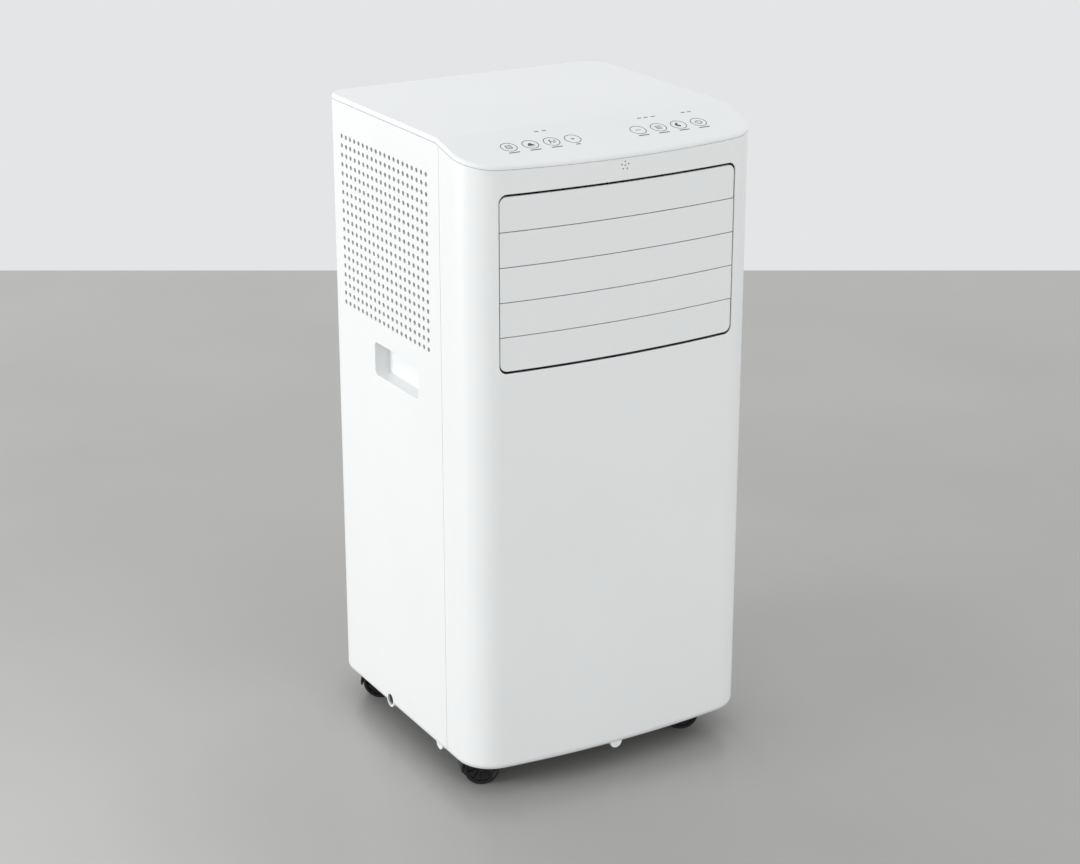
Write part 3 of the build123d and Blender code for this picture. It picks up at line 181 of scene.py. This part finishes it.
def moulded(name, light, dark, roughness, grain=1.3 * mm):
    """Moulded plastic. The grain is drawn coarser than the real 0.2 mm, so that it shows."""
    spread = 0.05  # how far the grain moves the roughness each way
    material = blank(name)
    tree = material.node_tree
    place = node(tree, "ShaderNodeTexCoord").outputs["Object"]
    flow = node(tree, "ShaderNodeTexNoise", {"Vector": place, "Scale": 1 / flow_size, "Detail": 4.0})
    colour = node(
        tree,
        "ShaderNodeMixRGB",
        {"Fac": flow.outputs["Fac"], "Color1": tone(light), "Color2": tone(dark)},
    )
    spark = node(tree, "ShaderNodeTexNoise", {"Vector": place, "Scale": 1 / grain, "Detail": 2.0})
    polish = node(
        tree,
        "ShaderNodeMapRange",
        {
            "Value": spark.outputs["Fac"],
            "From Min": 0.3,
            "From Max": 0.7,
            "To Min": roughness - spread,
            "To Max": roughness + spread,
        },
    )
    bump = node(
        tree,
        "ShaderNodeBump",
        {"Height": spark.outputs["Fac"], "Strength": 0.5, "Distance": grain_relief},
    )
    shader = node(
        tree,
        "ShaderNodeBsdfPrincipled",
        {
            "Base Color": colour.outputs["Color"],
            "Roughness": polish.outputs["Result"],
            "IOR": 1.52,
            "Normal": bump.outputs["Normal"],
        },
    )
    node(tree, "ShaderNodeOutputMaterial", {"Surface": shader.outputs["BSDF"]})
    return material


def finish(material, *names):
    """Puts a material on CAD nodes."""
    for name in names:
        slots = frame["nodes"][name].data.materials
        slots.clear()
        slots.append(material)


casing_abs = moulded("satin_white_abs", "#F3F5F5", "#EEF0F0", 0.36)
finish(
    casing_abs,
    "front_panel",
    "left_side_panel",
    "right_side_panel",
    "rear_panel",
    "top_cover",
    "filter_cover",
    "exhaust_collar",
    "drain_spout",
    "upper_drain_spout",
)

# ======== touch symbols ========
# Flush touch areas along the control band: eight rings with a plain sign in each, a dash
# under each and small level marks above, screen printed in dark grey ink on the cover. Each
# is drawn on a flat sheet, X to the right and Y up the band, that is then laid on the band.

band_depth = 76.0 * mm
band_drop = 19.3 * mm
touch_spacing = 23.9 * mm
ink_height = 0.08 * mm
ring_radius = 8.3 * mm
ring_line = 0.75 * mm
sign_line = 0.95 * mm
thin_line = 0.7 * mm
line_overlap = 0.6  # of a line's width, so that lines which meet leave no notch
arc_step = 8.0  # degrees of an arc that one flat facet covers
dash_level = -11.6 * mm
dash_width = 1.5 * mm
long_dash = 5.6 * mm
short_dash = 2.0 * mm
mark_level = 23.5 * mm
mark_width = 1.2 * mm
half_mark = 2.0 * mm
mark_places = (-63.5, -54.9, 55.7, 63.5, 72.0, 107.9, 115.5)
pads_low, pads_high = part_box("touch_pads")
pad_radius = 5.0 * mm
row_y = (pads_low.y + pads_high.y) / 2
band_slope = math.atan2(band_drop, band_depth)
band_place = Matrix.Translation(
    (0, row_y, cad_high.z + (row_y - cad_low.y - band_depth) * band_drop / band_depth)
) @ Matrix.Rotation(band_slope, 4, "X")


def add_piece(name, shape, material, body):
    """Turns a bmesh into a piece that rides on a body, smooth except at its sharp edges."""
    smooth_angle = 35.0
    made = bpy.data.meshes.new(name)
    shape.to_mesh(made)
    shape.free()
    made.materials.append(material)
    piece = bpy.data.objects.new(name, made)
    bpy.context.scene.collection.objects.link(piece)
    made.shade_smooth()
    made.set_sharp_from_angle(angle=math.radians(smooth_angle))
    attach(piece, body)
    return piece


def stroke(shape, start, end, width):
    """Straight printed line between two points of the sheet."""
    run = Vector(end) - Vector(start)
    turn = math.atan2(run.y, run.x)
    centre = (Vector(start) + Vector(end)) / 2
    place = Matrix.Translation((centre.x, centre.y, ink_height / 2)) @ Matrix.Rotation(turn, 4, "Z")
    size = Matrix.Diagonal((run.length + width * line_overlap, width, ink_height, 1))
    bmesh.ops.create_cube(shape, size=1.0, matrix=place @ size)


def arc(shape, centre, radius, width, start, sweep):
    """Printed arc, in degrees from the sheet's +X; 360 makes a closed ring."""
    inner, outer = radius - width / 2, radius + width / 2
    corners = [(inner, 0), (outer, 0), (outer, ink_height), (inner, ink_height)]
    turn = Matrix.Translation((*centre, 0)) @ Matrix.Rotation(math.radians(start), 4, "Z")
    verts = [shape.verts.new(turn @ Vector((x, 0, z))) for x, z in corners]
    face = shape.faces.new(verts)
    whole = abs(sweep) >= 360
    bmesh.ops.spin(
        shape,
        geom=[face, *face.edges, *verts],
        cent=(*centre, 0),
        axis=(0, 0, 1),
        angle=math.radians(sweep),
        steps=max(6, int(abs(sweep) / arc_step)),
        use_merge=whole,
    )
    if whole:
        bmesh.ops.delete(shape, geom=[f for f in shape.faces if f is face], context="FACES_ONLY")


def dot(shape, centre, radius):
    """Printed round dot."""
    bmesh.ops.create_cone(
        shape,
        cap_ends=True,
        segments=16,
        radius1=radius,
        radius2=radius,
        depth=ink_height,
        matrix=Matrix.Translation((*centre, ink_height / 2)),
    )


def polar(centre, radius, angle):
    """Point at an angle, in degrees, round a centre."""
    turn = math.radians(angle)
    return (centre[0] + radius * math.cos(turn), centre[1] + radius * math.sin(turn))


def fan_sign(shape, x):
    """Fan speed: four curved blades round a hub."""
    blade_reach = 2.3 * mm
    blade_radius = 1.5 * mm
    hub_dot = 0.8 * mm
    for blade in range(4):
        hub = polar((x, 0), blade_reach, 90 * blade + 45)
        arc(shape, hub, blade_radius, sign_line, 90 * blade - 60, 230)
    dot(shape, (x, 0), hub_dot)


def cone_sign(shape, x):
    """Drying: a filled cone over three drops."""
    half_base = 3.6 * mm
    half_fill = 3.4 * mm
    base = -2.2 * mm
    height = 4.8 * mm
    fill_line = 0.9 * mm
    fill_count = 6
    drop_spacing = 2.2 * mm
    drop_level = -4.2 * mm
    drop_dot = 0.5 * mm
    left, right, top = (x - half_base, base), (x + half_base, base), (x, 2.6 * mm)
    for rise in range(fill_count):
        share = rise / fill_count
        half = half_fill * (1 - share)
        level = base + share * height
        stroke(shape, (x - half, level), (x + half, level), fill_line)
    stroke(shape, left, top, sign_line)
    stroke(shape, right, top, sign_line)
    for step in (-1, 0, 1):
        dot(shape, (x + step * drop_spacing, drop_level), drop_dot)


def swing_sign(shape, x):
    """Louvre swing: a small figure with two waves of air beside it."""
    head_dot = 1.1 * mm
    wave_radius = 2.4
    wave_spacing = 1.5
    wave_line = 0.6 * mm
    dot(shape, (x - 1.2 * mm, 3.0 * mm), head_dot)
    stroke(shape, (x - 1.4 * mm, 1.4 * mm), (x - 2.6 * mm, -3.4 * mm), sign_line)
    stroke(shape, (x - 0.8 * mm, 1.2 * mm), (x + 1.8 * mm, -3.2 * mm), sign_line)
    for wave in range(2):
        radius = (wave_radius + wave_spacing * wave) * mm
        arc(shape, (x + 0.6 * mm, 0.6 * mm), radius, wave_line, -35, 70)


def plus_sign(shape, x):
    """More: a thin cross."""
    half = 2.2 * mm
    stroke(shape, (x - half, 0), (x + half, 0), thin_line)
    stroke(shape, (x, -half), (x, half), thin_line)


def minus_sign(shape, x):
    """Less: one bar."""
    half = 2.8 * mm
    stroke(shape, (x - half, 0), (x + half, 0), sign_line)


def bars_sign(shape, x):
    """Mode: three bars, one over the other."""
    half = 3.2 * mm
    spacing = 2.6 * mm
    bar_line = 1.0 * mm
    for level in (-spacing, 0, spacing):
        stroke(shape, (x - half, level), (x + half, level), bar_line)


def moon_sign(shape, x):
    """Night: a crescent, filled by five arcs that shrink towards its open side."""
    outer_radius = 3.5 * mm
    shift_step = 0.45 * mm
    for step in range(5):
        shift = step * shift_step
        centre = (x + shift, shift * 0.6)
        arc(shape, centre, outer_radius - shift * 0.4, thin_line, 75 + step * 6, 215 - step * 12)


def power_sign(shape, x):
    """On and off: an open ring with a bar in its gap."""
    arc(shape, (x, -0.2 * mm), 3.3 * mm, sign_line, 125, 290)
    stroke(shape, (x, 0.6 * mm), (x, 3.8 * mm), sign_line)


signs = (
    fan_sign,
    cone_sign,
    swing_sign,
    plus_sign,
    minus_sign,
    bars_sign,
    moon_sign,
    power_sign,
)
touch_left = pads_low.x + pad_radius
touch_right = pads_high.x - pad_radius - 3 * touch_spacing
touch_x = [start + step * touch_spacing for start in (touch_left, touch_right) for step in range(4)]
symbols = bmesh.new()
for x, sign in zip(touch_x, signs):
    arc(symbols, (x, 0), ring_radius, ring_line, 0, 360)
    sign(symbols, x)
    half_dash = short_dash if sign is plus_sign else long_dash
    stroke(symbols, (x - half_dash, dash_level), (x + half_dash, dash_level), dash_width)
for place in mark_places:
    x = place * mm
    stroke(symbols, (x - half_mark, mark_level), (x + half_mark, mark_level), mark_width)
bmesh.ops.transform(symbols, matrix=band_place, verts=symbols.verts)
bmesh.ops.recalc_face_normals(symbols, faces=symbols.faces)


def printed_ink():
    """Screen printed ink: dark grey, matt, a little thinner in places."""
    thin_size = 1.111 * mm
    material = blank("grey_print_ink")
    tree = material.node_tree
    place = node(tree, "ShaderNodeTexCoord").outputs["Object"]
    thin = node(tree, "ShaderNodeTexNoise", {"Vector": place, "Scale": 1 / thin_size, "Detail": 2.0})
    colour = node(
        tree,
        "ShaderNodeMixRGB",
        {"Fac": thin.outputs["Fac"], "Color1": tone("#3A3D40"), "Color2": tone("#505356")},
    )
    shader = node(
        tree,
        "ShaderNodeBsdfPrincipled",
        {"Base Color": colour.outputs["Color"], "Roughness": 0.5, "IOR": 1.5},
    )
    node(tree, "ShaderNodeOutputMaterial", {"Surface": shader.outputs["BSDF"]})
    return material


add_piece("touch_symbols", symbols, printed_ink(), "casing")

# ======== louvres, outlet frame and vanes ========
# Five louvre blades, moulded in the casing's white ABS with a slightly duller face. The
# frame, its vanes, the crank and both links are moulded in matt light grey polypropylene.
# All of them but the frame turn on plain pins.

finish(
    moulded("louvre_abs", "#F1F3F3", "#EDEFEF", 0.38),
    *["louvre_" + str(number) for number in range(1, 6)],
)
finish(
    moulded("outlet_polypropylene", "#B9BCBE", "#AFB2B4", 0.50, grain=1.8 * mm),
    "outlet_frame",
    "vane_link",
    "louvre_link",
    "louvre_drive_crank",
    *["vane_" + str(number) for number in range(1, 6)],
)

# ======== dust nets ========
# Fine nylon net in frames behind the side intakes and in the filter cover. The real net is
# woven at a 0.8 mm pitch, and is drawn at 1.6 mm so that the weave shows. Its dark grey
# threads and near-black gaps are painted shade, standing for the shade inside the intake
# holes and in the casing behind the net.

net_pitch = 1.6 * mm
net_relief = 0.2 * mm


def woven_net(name, across, thread, gap):
    """Net of round threads: a square lattice across the two axes named."""
    material = blank(name)
    tree = material.node_tree
    place = node(tree, "ShaderNodeTexCoord").outputs["Object"]
    parts = node(tree, "ShaderNodeSeparateXYZ", {"Vector": place})
    waves = []
    for axis in across:
        turns = node(
            tree,
            "ShaderNodeMath",
            {0: parts.outputs[axis], 1: math.pi / net_pitch},
            operation="MULTIPLY",
        )
        wave = node(tree, "ShaderNodeMath", {0: turns.outputs[0]}, operation="SINE")
        waves.append(node(tree, "ShaderNodeMath", {0: wave.outputs[0]}, operation="ABSOLUTE"))
    weave = node(
        tree,
        "ShaderNodeMath",
        {0: waves[0].outputs[0], 1: waves[1].outputs[0]},
        operation="MINIMUM",
    )
    cover = node(
        tree,
        "ShaderNodeMapRange",
        {"Value": weave.outputs[0], "From Min": 0.35, "From Max": 0.6},
    )
    # the thread and gap tones are painted shade: the net is drawn dark so that the holes in front of it
    # read shaded
    colour = node(
        tree,
        "ShaderNodeMixRGB",
        {"Fac": cover.outputs["Result"], "Color1": tone(thread), "Color2": tone(gap)},
    )
    bump = node(
        tree,
        "ShaderNodeBump",
        {"Height": cover.outputs["Result"], "Strength": 0.6, "Distance": net_relief},
        invert=True,
    )
    shader = node(
        tree,
        "ShaderNodeBsdfPrincipled",
        {
            "Base Color": colour.outputs["Color"],
            "Roughness": 0.6,
            "IOR": 1.53,
            "Normal": bump.outputs["Normal"],
        },
    )
    node(tree, "ShaderNodeOutputMaterial", {"Surface": shader.outputs["BSDF"]})
    return material


# dark grey threads and near-black gaps on both nets: painted shade of the intakes
finish(woven_net("side_net_painted_shade", ("Y", "Z"), "#6F7376", "#2C2F31"), "side_filter_nets")
finish(woven_net("rear_net_painted_shade", ("X", "Z"), "#6F7376", "#2C2F31"), "rear_filter_net")

# ======== casters ========
# Four twin-wheel casters moulded in black nylon: a hood over two wheels on one axle, on a
# stem that turns in the base tray. The wheels have a recessed face with ribs and a smooth
# satin tread.

caster_nylon = moulded("black_nylon", "#17181A", "#101112", 0.38, grain=1.1 * mm)
places = ("front_left", "front_right", "rear_left", "rear_right")
wheel_radius = 19.0 * mm
wheel_inner = 4.5 * mm
wheel_width = 12.0 * mm
wheel_rim = 3.2 * mm
wheel_recess = 2.4 * mm
wheel_round = 0.7 * mm
rim_slope = 0.6 * mm
hub_radius = 5.0 * mm
hub_slope = 0.5 * mm
hub_drop = 0.4 * mm
rib_count = 10
rib_width = 1.3 * mm
rib_height = 1.6  # of the recess, so that a rib's foot is inside the wheel
axle_radius = 2.5 * mm
axle_overlap = 1.0 * mm
joints = {joint["name"]: joint for joint in frame["joints"]}


def lathe(shape, outline):
    """Turns an outline of (along, radius) points about the X axis into a closed solid."""
    verts = [shape.verts.new((along, 0, radius)) for along, radius in outline]
    edges = [shape.edges.new(pair) for pair in zip(verts, verts[1:])]
    bmesh.ops.spin(
        shape,
        geom=[*verts, *edges],
        cent=(0, 0, 0),
        axis=(1, 0, 0),
        angle=math.tau,
        steps=48,
        use_merge=True,
    )
    bmesh.ops.remove_doubles(shape, verts=shape.verts, dist=0.001 * mm)


def soften(shape, width, segments=2):
    """Rounds every edge that turns by more than least degrees."""
    least = 30.0
    sharp = [
        edge
        for edge in shape.edges
        if len(edge.link_faces) == 2 and math.degrees(edge.calc_face_angle(0)) > least
    ]
    bmesh.ops.bevel(
        shape,
        geom=sharp,
        offset=width,
        offset_type="OFFSET",
        segments=segments,
        profile=0.5,
        affect="EDGES",
        material=-1,
        clamp_overlap=True,
    )


def one_wheel(shape):
    """Wheel whose inner face is at 0 and whose outer face looks along +X."""
    face = wheel_width
    lathe(
        shape,
        [
            (0, 0),
            (0, wheel_radius),
            (face, wheel_radius),
            (face, wheel_radius - wheel_rim),
            (face - wheel_recess, wheel_radius - wheel_rim - rim_slope),
            (face - wheel_recess, hub_radius + hub_slope),
            (face - hub_drop, hub_radius),
            (face - hub_drop, 0),
        ],
    )
    soften(shape, wheel_round, segments=3)
    length = wheel_radius - wheel_rim - hub_radius
    for step in range(rib_count):
        size = Matrix.Diagonal((wheel_recess * rib_height, rib_width, length, 1))
        reach = Matrix.Translation((face - wheel_recess, 0, hub_radius + length / 2))
        turn = Matrix.Rotation(math.tau * step / rib_count, 4, "X")
        bmesh.ops.create_cube(shape, size=1.0, matrix=turn @ reach @ size)


for place in places:
    roll = joints["caster_" + place + "_roll"]
    across = Vector(roll["axis"]).normalized()
    ahead = Vector((0, 0, 1)).cross(across)
    turned = Matrix((across, ahead, (0, 0, 1))).transposed().to_4x4()
    stand = Matrix.Translation(roll["pos_m"]) @ turned
    wheels = bmesh.new()
    for side in (0, math.pi):
        wheel = bmesh.new()
        one_wheel(wheel)
        bmesh.ops.translate(wheel, verts=wheel.verts, vec=(wheel_inner, 0, 0))
        bmesh.ops.rotate(wheel, verts=wheel.verts, matrix=Matrix.Rotation(side, 3, "Z"))
        loose = bpy.data.meshes.new("wheel")
        wheel.to_mesh(loose)
        wheel.free()
        wheels.from_mesh(loose)
        bpy.data.meshes.remove(loose)
    bmesh.ops.create_cone(
        wheels,
        cap_ends=True,
        segments=24,
        radius1=axle_radius,
        radius2=axle_radius,
        depth=2 * wheel_inner + 2 * axle_overlap,
        matrix=Matrix.Rotation(math.pi / 2, 4, "Y"),
    )
    bmesh.ops.transform(wheels, matrix=stand, verts=wheels.verts)
    bmesh.ops.recalc_face_normals(wheels, faces=wheels.faces)
    pair = add_piece(
        "wheel_pair_" + place, wheels, caster_nylon, "caster_" + place + "_wheels"
    )
    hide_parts("caster_wheels_" + place)
finish(caster_nylon, *["caster_fork_" + place for place in places])

# ======== base and inner mouldings ========
# The base tray is moulded polypropylene, drawn in a dark grey that is painted shade, so that
# the gap under the unit reads dark. The deck, duct, scroll, blower box and blower wheels are
# moulded polypropylene in dark greys, and the sounder, cord bush and louvre motor are black
# ABS. The compressor's mounts, the drain plugs and the touch pads are moulded rubber, pushed
# into place.

# the base tray's dark grey is painted shade under the unit
finish(moulded("base_tray_painted_shade", "#2B2D2F", "#232527", 0.52, grain=2.0 * mm), "base_tray")
finish(
    moulded("duct_polypropylene", "#54585B", "#4A4E50", 0.52, grain=2.0 * mm),
    "drain_deck",
    "blower_box",
    "heat_scroll",
    "exhaust_duct",
    "cooling_blower_wheel",
    "heat_blower_wheel",
)
finish(moulded("black_abs", "#1B1C1E", "#141516", 0.42), "sounder", "cord_bush", "louvre_motor")


def rubber(name, light, dark):
    """Moulded rubber: near black, dull, with a fine matt bloom."""
    bloom_size = 2.222 * mm
    bloom_relief = 0.05 * mm
    material = blank(name)
    tree = material.node_tree
    place = node(tree, "ShaderNodeTexCoord").outputs["Object"]
    bloom = node(tree, "ShaderNodeTexNoise", {"Vector": place, "Scale": 1 / bloom_size, "Detail": 5.0})
    colour = node(
        tree,
        "ShaderNodeMixRGB",
        {"Fac": bloom.outputs["Fac"], "Color1": tone(light), "Color2": tone(dark)},
    )
    bump = node(
        tree,
        "ShaderNodeBump",
        {"Height": bloom.outputs["Fac"], "Strength": 0.4, "Distance": bloom_relief},
    )
    shader = node(
        tree,
        "ShaderNodeBsdfPrincipled",
        {
            "Base Color": colour.outputs["Color"],
            "Roughness": 0.75,
            "IOR": 1.5,
            "Normal": bump.outputs["Normal"],
        },
    )
    node(tree, "ShaderNodeOutputMaterial", {"Surface": shader.outputs["BSDF"]})
    return material


finish(
    rubber("black_rubber", "#1D1E1F", "#262728"),
    "compressor_mounts",
    "lower_drain_plug",
    "upper_drain_plug",
    "touch_pads",
)

# ======== metal parts and control board ========
# Bent copper pipes, a control box and capacitor can of zinc-plated sheet, drawn steel
# shafts, pressed shells in satin black enamel for the compressor and accumulator, blower
# motors in a grey coating, and a circuit board under green solder mask.


def metal(name, light, dark, roughness, streak, stretch=(1, 1, 1), metallic=1.0):
    """Metal or coating, streaked along the axes that stretch makes small, or clouded.

    The real streaks are about 0.2 mm apart, and are drawn coarser so that they show.
    """
    spread = 0.08  # how far the streaks move the roughness each way
    relief = 0.02 * mm
    material = blank(name)
    tree = material.node_tree
    place = node(tree, "ShaderNodeTexCoord").outputs["Object"]
    drawn = node(tree, "ShaderNodeMapping", {"Vector": place, "Scale": stretch})
    grain = node(
        tree,
        "ShaderNodeTexNoise",
        {"Vector": drawn.outputs["Vector"], "Scale": 1 / streak, "Detail": 4.0},
    )
    colour = node(
        tree,
        "ShaderNodeMixRGB",
        {"Fac": grain.outputs["Fac"], "Color1": tone(light), "Color2": tone(dark)},
    )
    polish = node(
        tree,
        "ShaderNodeMapRange",
        {
            "Value": grain.outputs["Fac"],
            "From Min": 0.3,
            "From Max": 0.7,
            "To Min": roughness - spread,
            "To Max": roughness + spread,
        },
    )
    bump = node(
        tree,
        "ShaderNodeBump",
        {"Height": grain.outputs["Fac"], "Strength": 0.4, "Distance": relief},
    )
    shader = node(
        tree,
        "ShaderNodeBsdfPrincipled",
        {
            "Base Color": colour.outputs["Color"],
            "Metallic": metallic,
            "Roughness": polish.outputs["Result"],
            "Normal": bump.outputs["Normal"],
        },
    )
    node(tree, "ShaderNodeOutputMaterial", {"Surface": shader.outputs["BSDF"]})
    return material


fin_aluminium = metal("mill_aluminium", "#D5D7DA", "#B9BCC0", 0.38, 1.667 * mm, (1, 1, 0.1))
drawn_copper = metal("drawn_copper", "#C9784F", "#B0623D", 0.30, 3.333 * mm)
zinc_sheet = metal("zinc_plated_sheet", "#C4C8CA", "#A4A9AC", 0.36, 11.11 * mm)
drawn_steel = metal("drawn_steel", "#BEBFC1", "#9FA1A4", 0.28, 2.0 * mm, (1, 0.05, 1))
black_enamel = metal("black_enamel", "#17181A", "#0F1011", 0.36, 8.333 * mm, metallic=0.0)
finish(drawn_copper, "refrigerant_pipes")
finish(zinc_sheet, "control_box", "run_capacitor")
finish(drawn_steel, "cooling_blower_shaft", "heat_blower_shaft")
finish(black_enamel, "compressor", "accumulator")
finish(
    metal("motor_coating", "#7C8083", "#6B6F72", 0.45, 5.0 * mm, metallic=0.3),
    "cooling_blower_motor",
    "heat_blower_motor",
)
finish(
    metal("solder_mask", "#1F5C38", "#174A2C", 0.35, 4.0 * mm, metallic=0.0),
    "control_board",
)

# ======== coil fins, tubes and end plates ========
# Each coil is a stack of thin aluminium fins pressed on copper tubes, between two plates of
# zinc-plated sheet. The fins are drawn at a 3 mm pitch, coarser than the real 1.6 mm.

fin_pitch = 3.0 * mm
fin_thickness = 0.35 * mm
tube_pitch = 20.0 * mm
tube_radius = 3.0 * mm
plate_thickness = 1.0 * mm
plate_edge = 1.5 * mm
plate_round = 0.3 * mm
bend_reach = tube_pitch / 2 + tube_radius


def slab(shape, low, high):
    """Box between two corners."""
    size = [b - a for a, b in zip(low, high)]
    centre = [(a + b) / 2 for a, b in zip(low, high)]
    place = Matrix.Translation(centre) @ Matrix.Diagonal((*size, 1))
    bmesh.ops.create_cube(shape, size=1.0, matrix=place)


def half_ring(shape, centre, outwards):
    """Return bend: half of a round tube ring, standing upright, that points along X."""
    start = Matrix.Translation(centre) @ Matrix.Translation((0, 0, -tube_pitch / 2))
    turned = start @ Matrix.Rotation(math.pi / 2, 4, "Y")
    made = bmesh.ops.create_circle(shape, segments=12, radius=tube_radius, matrix=turned)
    edges = dict.fromkeys(edge for vert in made["verts"] for edge in vert.link_edges)
    bmesh.ops.spin(
        shape,
        geom=[*made["verts"], *edges],
        cent=centre,
        axis=(0, -outwards, 0),
        angle=math.pi,
        steps=10,
    )


for coil in ("cooling_coil", "heat_coil"):
    coil_low, coil_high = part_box(coil)
    core = coil_high.x - bend_reach
    fins = bmesh.new()
    count = int(2 * core / fin_pitch)
    for step in range(count):
        x = (step + 0.5) * 2 * core / count - core
        slab(
            fins,
            (x - fin_thickness / 2, coil_low.y, coil_low.z),
            (x + fin_thickness / 2, coil_high.y, coil_high.z),
        )
    made = add_piece(coil + "_fins", fins, fin_aluminium, "casing")
    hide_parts(coil)

    tubes = bmesh.new()
    # the small share keeps a height of exactly so many pitches from losing a row
    rows = int((coil_high.z - coil_low.z) / tube_pitch + 0.01)
    middle_y = (coil_low.y + coil_high.y) / 2
    first = (coil_low.z + coil_high.z) / 2 - (rows - 1) * tube_pitch / 2
    for row in range(rows):
        bmesh.ops.create_cone(
            tubes,
            cap_ends=True,
            segments=12,
            radius1=tube_radius,
            radius2=tube_radius,
            depth=2 * core,
            matrix=Matrix.Translation((0, middle_y, first + row * tube_pitch))
            @ Matrix.Rotation(math.pi / 2, 4, "Y"),
        )
    for row in range(0, rows - 1, 2):
        for side in (-1, 1):
            half_ring(tubes, (side * core, middle_y, first + (row + 0.5) * tube_pitch), side)
    bmesh.ops.recalc_face_normals(tubes, faces=tubes.faces)
    add_piece(coil + "_tubes", tubes, drawn_copper, "casing")

    plates = bmesh.new()
    for side in (-1, 1):
        ends = sorted((side * core, side * (core - plate_thickness)))
        slab(
            plates,
            (ends[0], coil_low.y - plate_edge, coil_low.z),
            (ends[1], coil_high.y + plate_edge, coil_high.z),
        )
    soften(plates, plate_round)
    add_piece(coil + "_end_plates", plates, zinc_sheet, "casing")

# ======== rear screws ========
# Six steel screws with countersunk heads and a cross recess, cold headed and rolled, which
# hold the rear panel. The thread is drawn as close rings.

screw_head = 4.0 * mm
screw_sink = 2.5 * mm
screw_shank = 1.9 * mm
screw_length = 12.0 * mm
screw_level = 330.0 * mm  # the middle pair, above the floor
thread_pitch = 1.2 * mm
thread_depth = 0.3 * mm
cross_reach = 2.2 * mm
cross_half = 0.55 * mm
cross_depth = 1.5 * mm
cross_taper = 0.45  # the recess's floor, as a share of its mouth
point_radius = 0.3 * mm


def cross_screw(shape):
    """Screw that points down from a flat head at the origin."""
    steps = 32
    rim = [
        shape.verts.new((*polar((0, 0), screw_head, 360 * step / steps), 0)) for step in range(steps)
    ]
    corners = []
    for quarter in range(4):
        for point in ((cross_half, cross_half), (cross_reach, cross_half), (cross_reach, -cross_half)):
            corners.append(Matrix.Rotation(-math.pi / 2 * quarter, 3, "Z") @ Vector((*point, 0)))
    cross = [shape.verts.new(point) for point in corners]
    floor_ring = [shape.verts.new((p.x * cross_taper, p.y * cross_taper, -cross_depth)) for p in corners]
    loops = [
        shape.edges.new((ring[step], ring[(step + 1) % len(ring)]))
        for ring in (rim, cross)
        for step in range(len(ring))
    ]
    bmesh.ops.triangle_fill(shape, edges=loops, use_beauty=True, normal=(0, 0, 1))
    for step in range(len(cross)):
        after = (step + 1) % len(cross)
        shape.faces.new((cross[step], cross[after], floor_ring[after], floor_ring[step]))
    shape.faces.new(floor_ring)
    outline = [(screw_head, 0.0), (screw_shank, -screw_sink)]
    level = -screw_sink - thread_pitch
    while level > thread_pitch - screw_length:
        outline.append((screw_shank - thread_depth, level + thread_pitch / 2))
        outline.append((screw_shank, level))
        level -= thread_pitch
    outline.append((point_radius, -screw_length))
    rings = [rim]
    for radius, depth in outline[1:]:
        rings.append(
            [
                shape.verts.new((*polar((0, 0), radius, 360 * step / steps), depth))
                for step in range(steps)
            ]
        )
    for upper, lower in zip(rings, rings[1:]):
        for step in range(steps):
            after = (step + 1) % steps
            shape.faces.new((upper[step], upper[after], lower[after], lower[step]))
    shape.faces.new(rings[-1])


screws_low, screws_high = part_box("rear_screws")
screws = bmesh.new()
for x in (screws_low.x + screw_head, screws_high.x - screw_head):
    for level in (screws_low.z + screw_head, screw_level, screws_high.z - screw_head):
        single = bmesh.new()
        cross_screw(single)
        place = Matrix.Translation((x, screws_high.y, level)) @ Matrix.Rotation(-math.pi / 2, 4, "X")
        bmesh.ops.transform(single, matrix=place, verts=single.verts)
        loose = bpy.data.meshes.new("screw")
        single.to_mesh(loose)
        single.free()
        screws.from_mesh(loose)
        bpy.data.meshes.remove(loose)
bmesh.ops.recalc_face_normals(screws, faces=screws.faces)
made = add_piece("rear_cross_screws", screws, drawn_steel, "casing")
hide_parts("rear_screws")

# ======== compressor details ========
# The compressor's two pressed shells meet in a welded seam, and a moulded cover is clipped
# over its terminals. Both stay on when the unit is in use.

seam_level = 0.6  # of the compressor's height
seam_radius = 1.6 * mm
shell_radius = 52.0 * mm
cover_half = 17.0 * mm
cover_sink = 3.0 * mm
cover_rise = 11.0 * mm
cover_foot = 60.0 * mm
cover_head = 20.0 * mm
cover_round = 2.0 * mm
shell_low, shell_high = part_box("compressor")
shell_x = shell_low.x + shell_radius
shell_y = (shell_low.y + shell_high.y) / 2
seam = bmesh.new()
seam_z = shell_low.z + seam_level * (shell_high.z - shell_low.z)
verts = bmesh.ops.create_circle(
    seam,
    segments=10,
    radius=seam_radius,
    matrix=Matrix.Translation((shell_x + shell_radius, shell_y, seam_z))
    @ Matrix.Rotation(math.pi / 2, 4, "X"),
)["verts"]
bmesh.ops.spin(
    seam,
    geom=[*verts, *dict.fromkeys(edge for vert in verts for edge in vert.link_edges)],
    cent=(shell_x, shell_y, seam_z),
    axis=(0, 0, 1),
    angle=math.tau,
    steps=72,
    use_merge=True,
)
bmesh.ops.recalc_face_normals(seam, faces=seam.faces)
add_piece("compressor_weld_seam", seam, black_enamel, "casing")

cap = bmesh.new()
slab(
    cap,
    (shell_x + shell_radius - cover_sink, shell_y - cover_half, seam_z - cover_foot),
    (shell_x + shell_radius + cover_rise, shell_y + cover_half, seam_z - cover_head),
)
soften(cap, cover_round, segments=3)
add_piece(
    "compressor_terminal_cover",
    cap,
    moulded("terminal_cover_nylon", "#1B1C1E", "#141516", 0.42),
    "casing",
)
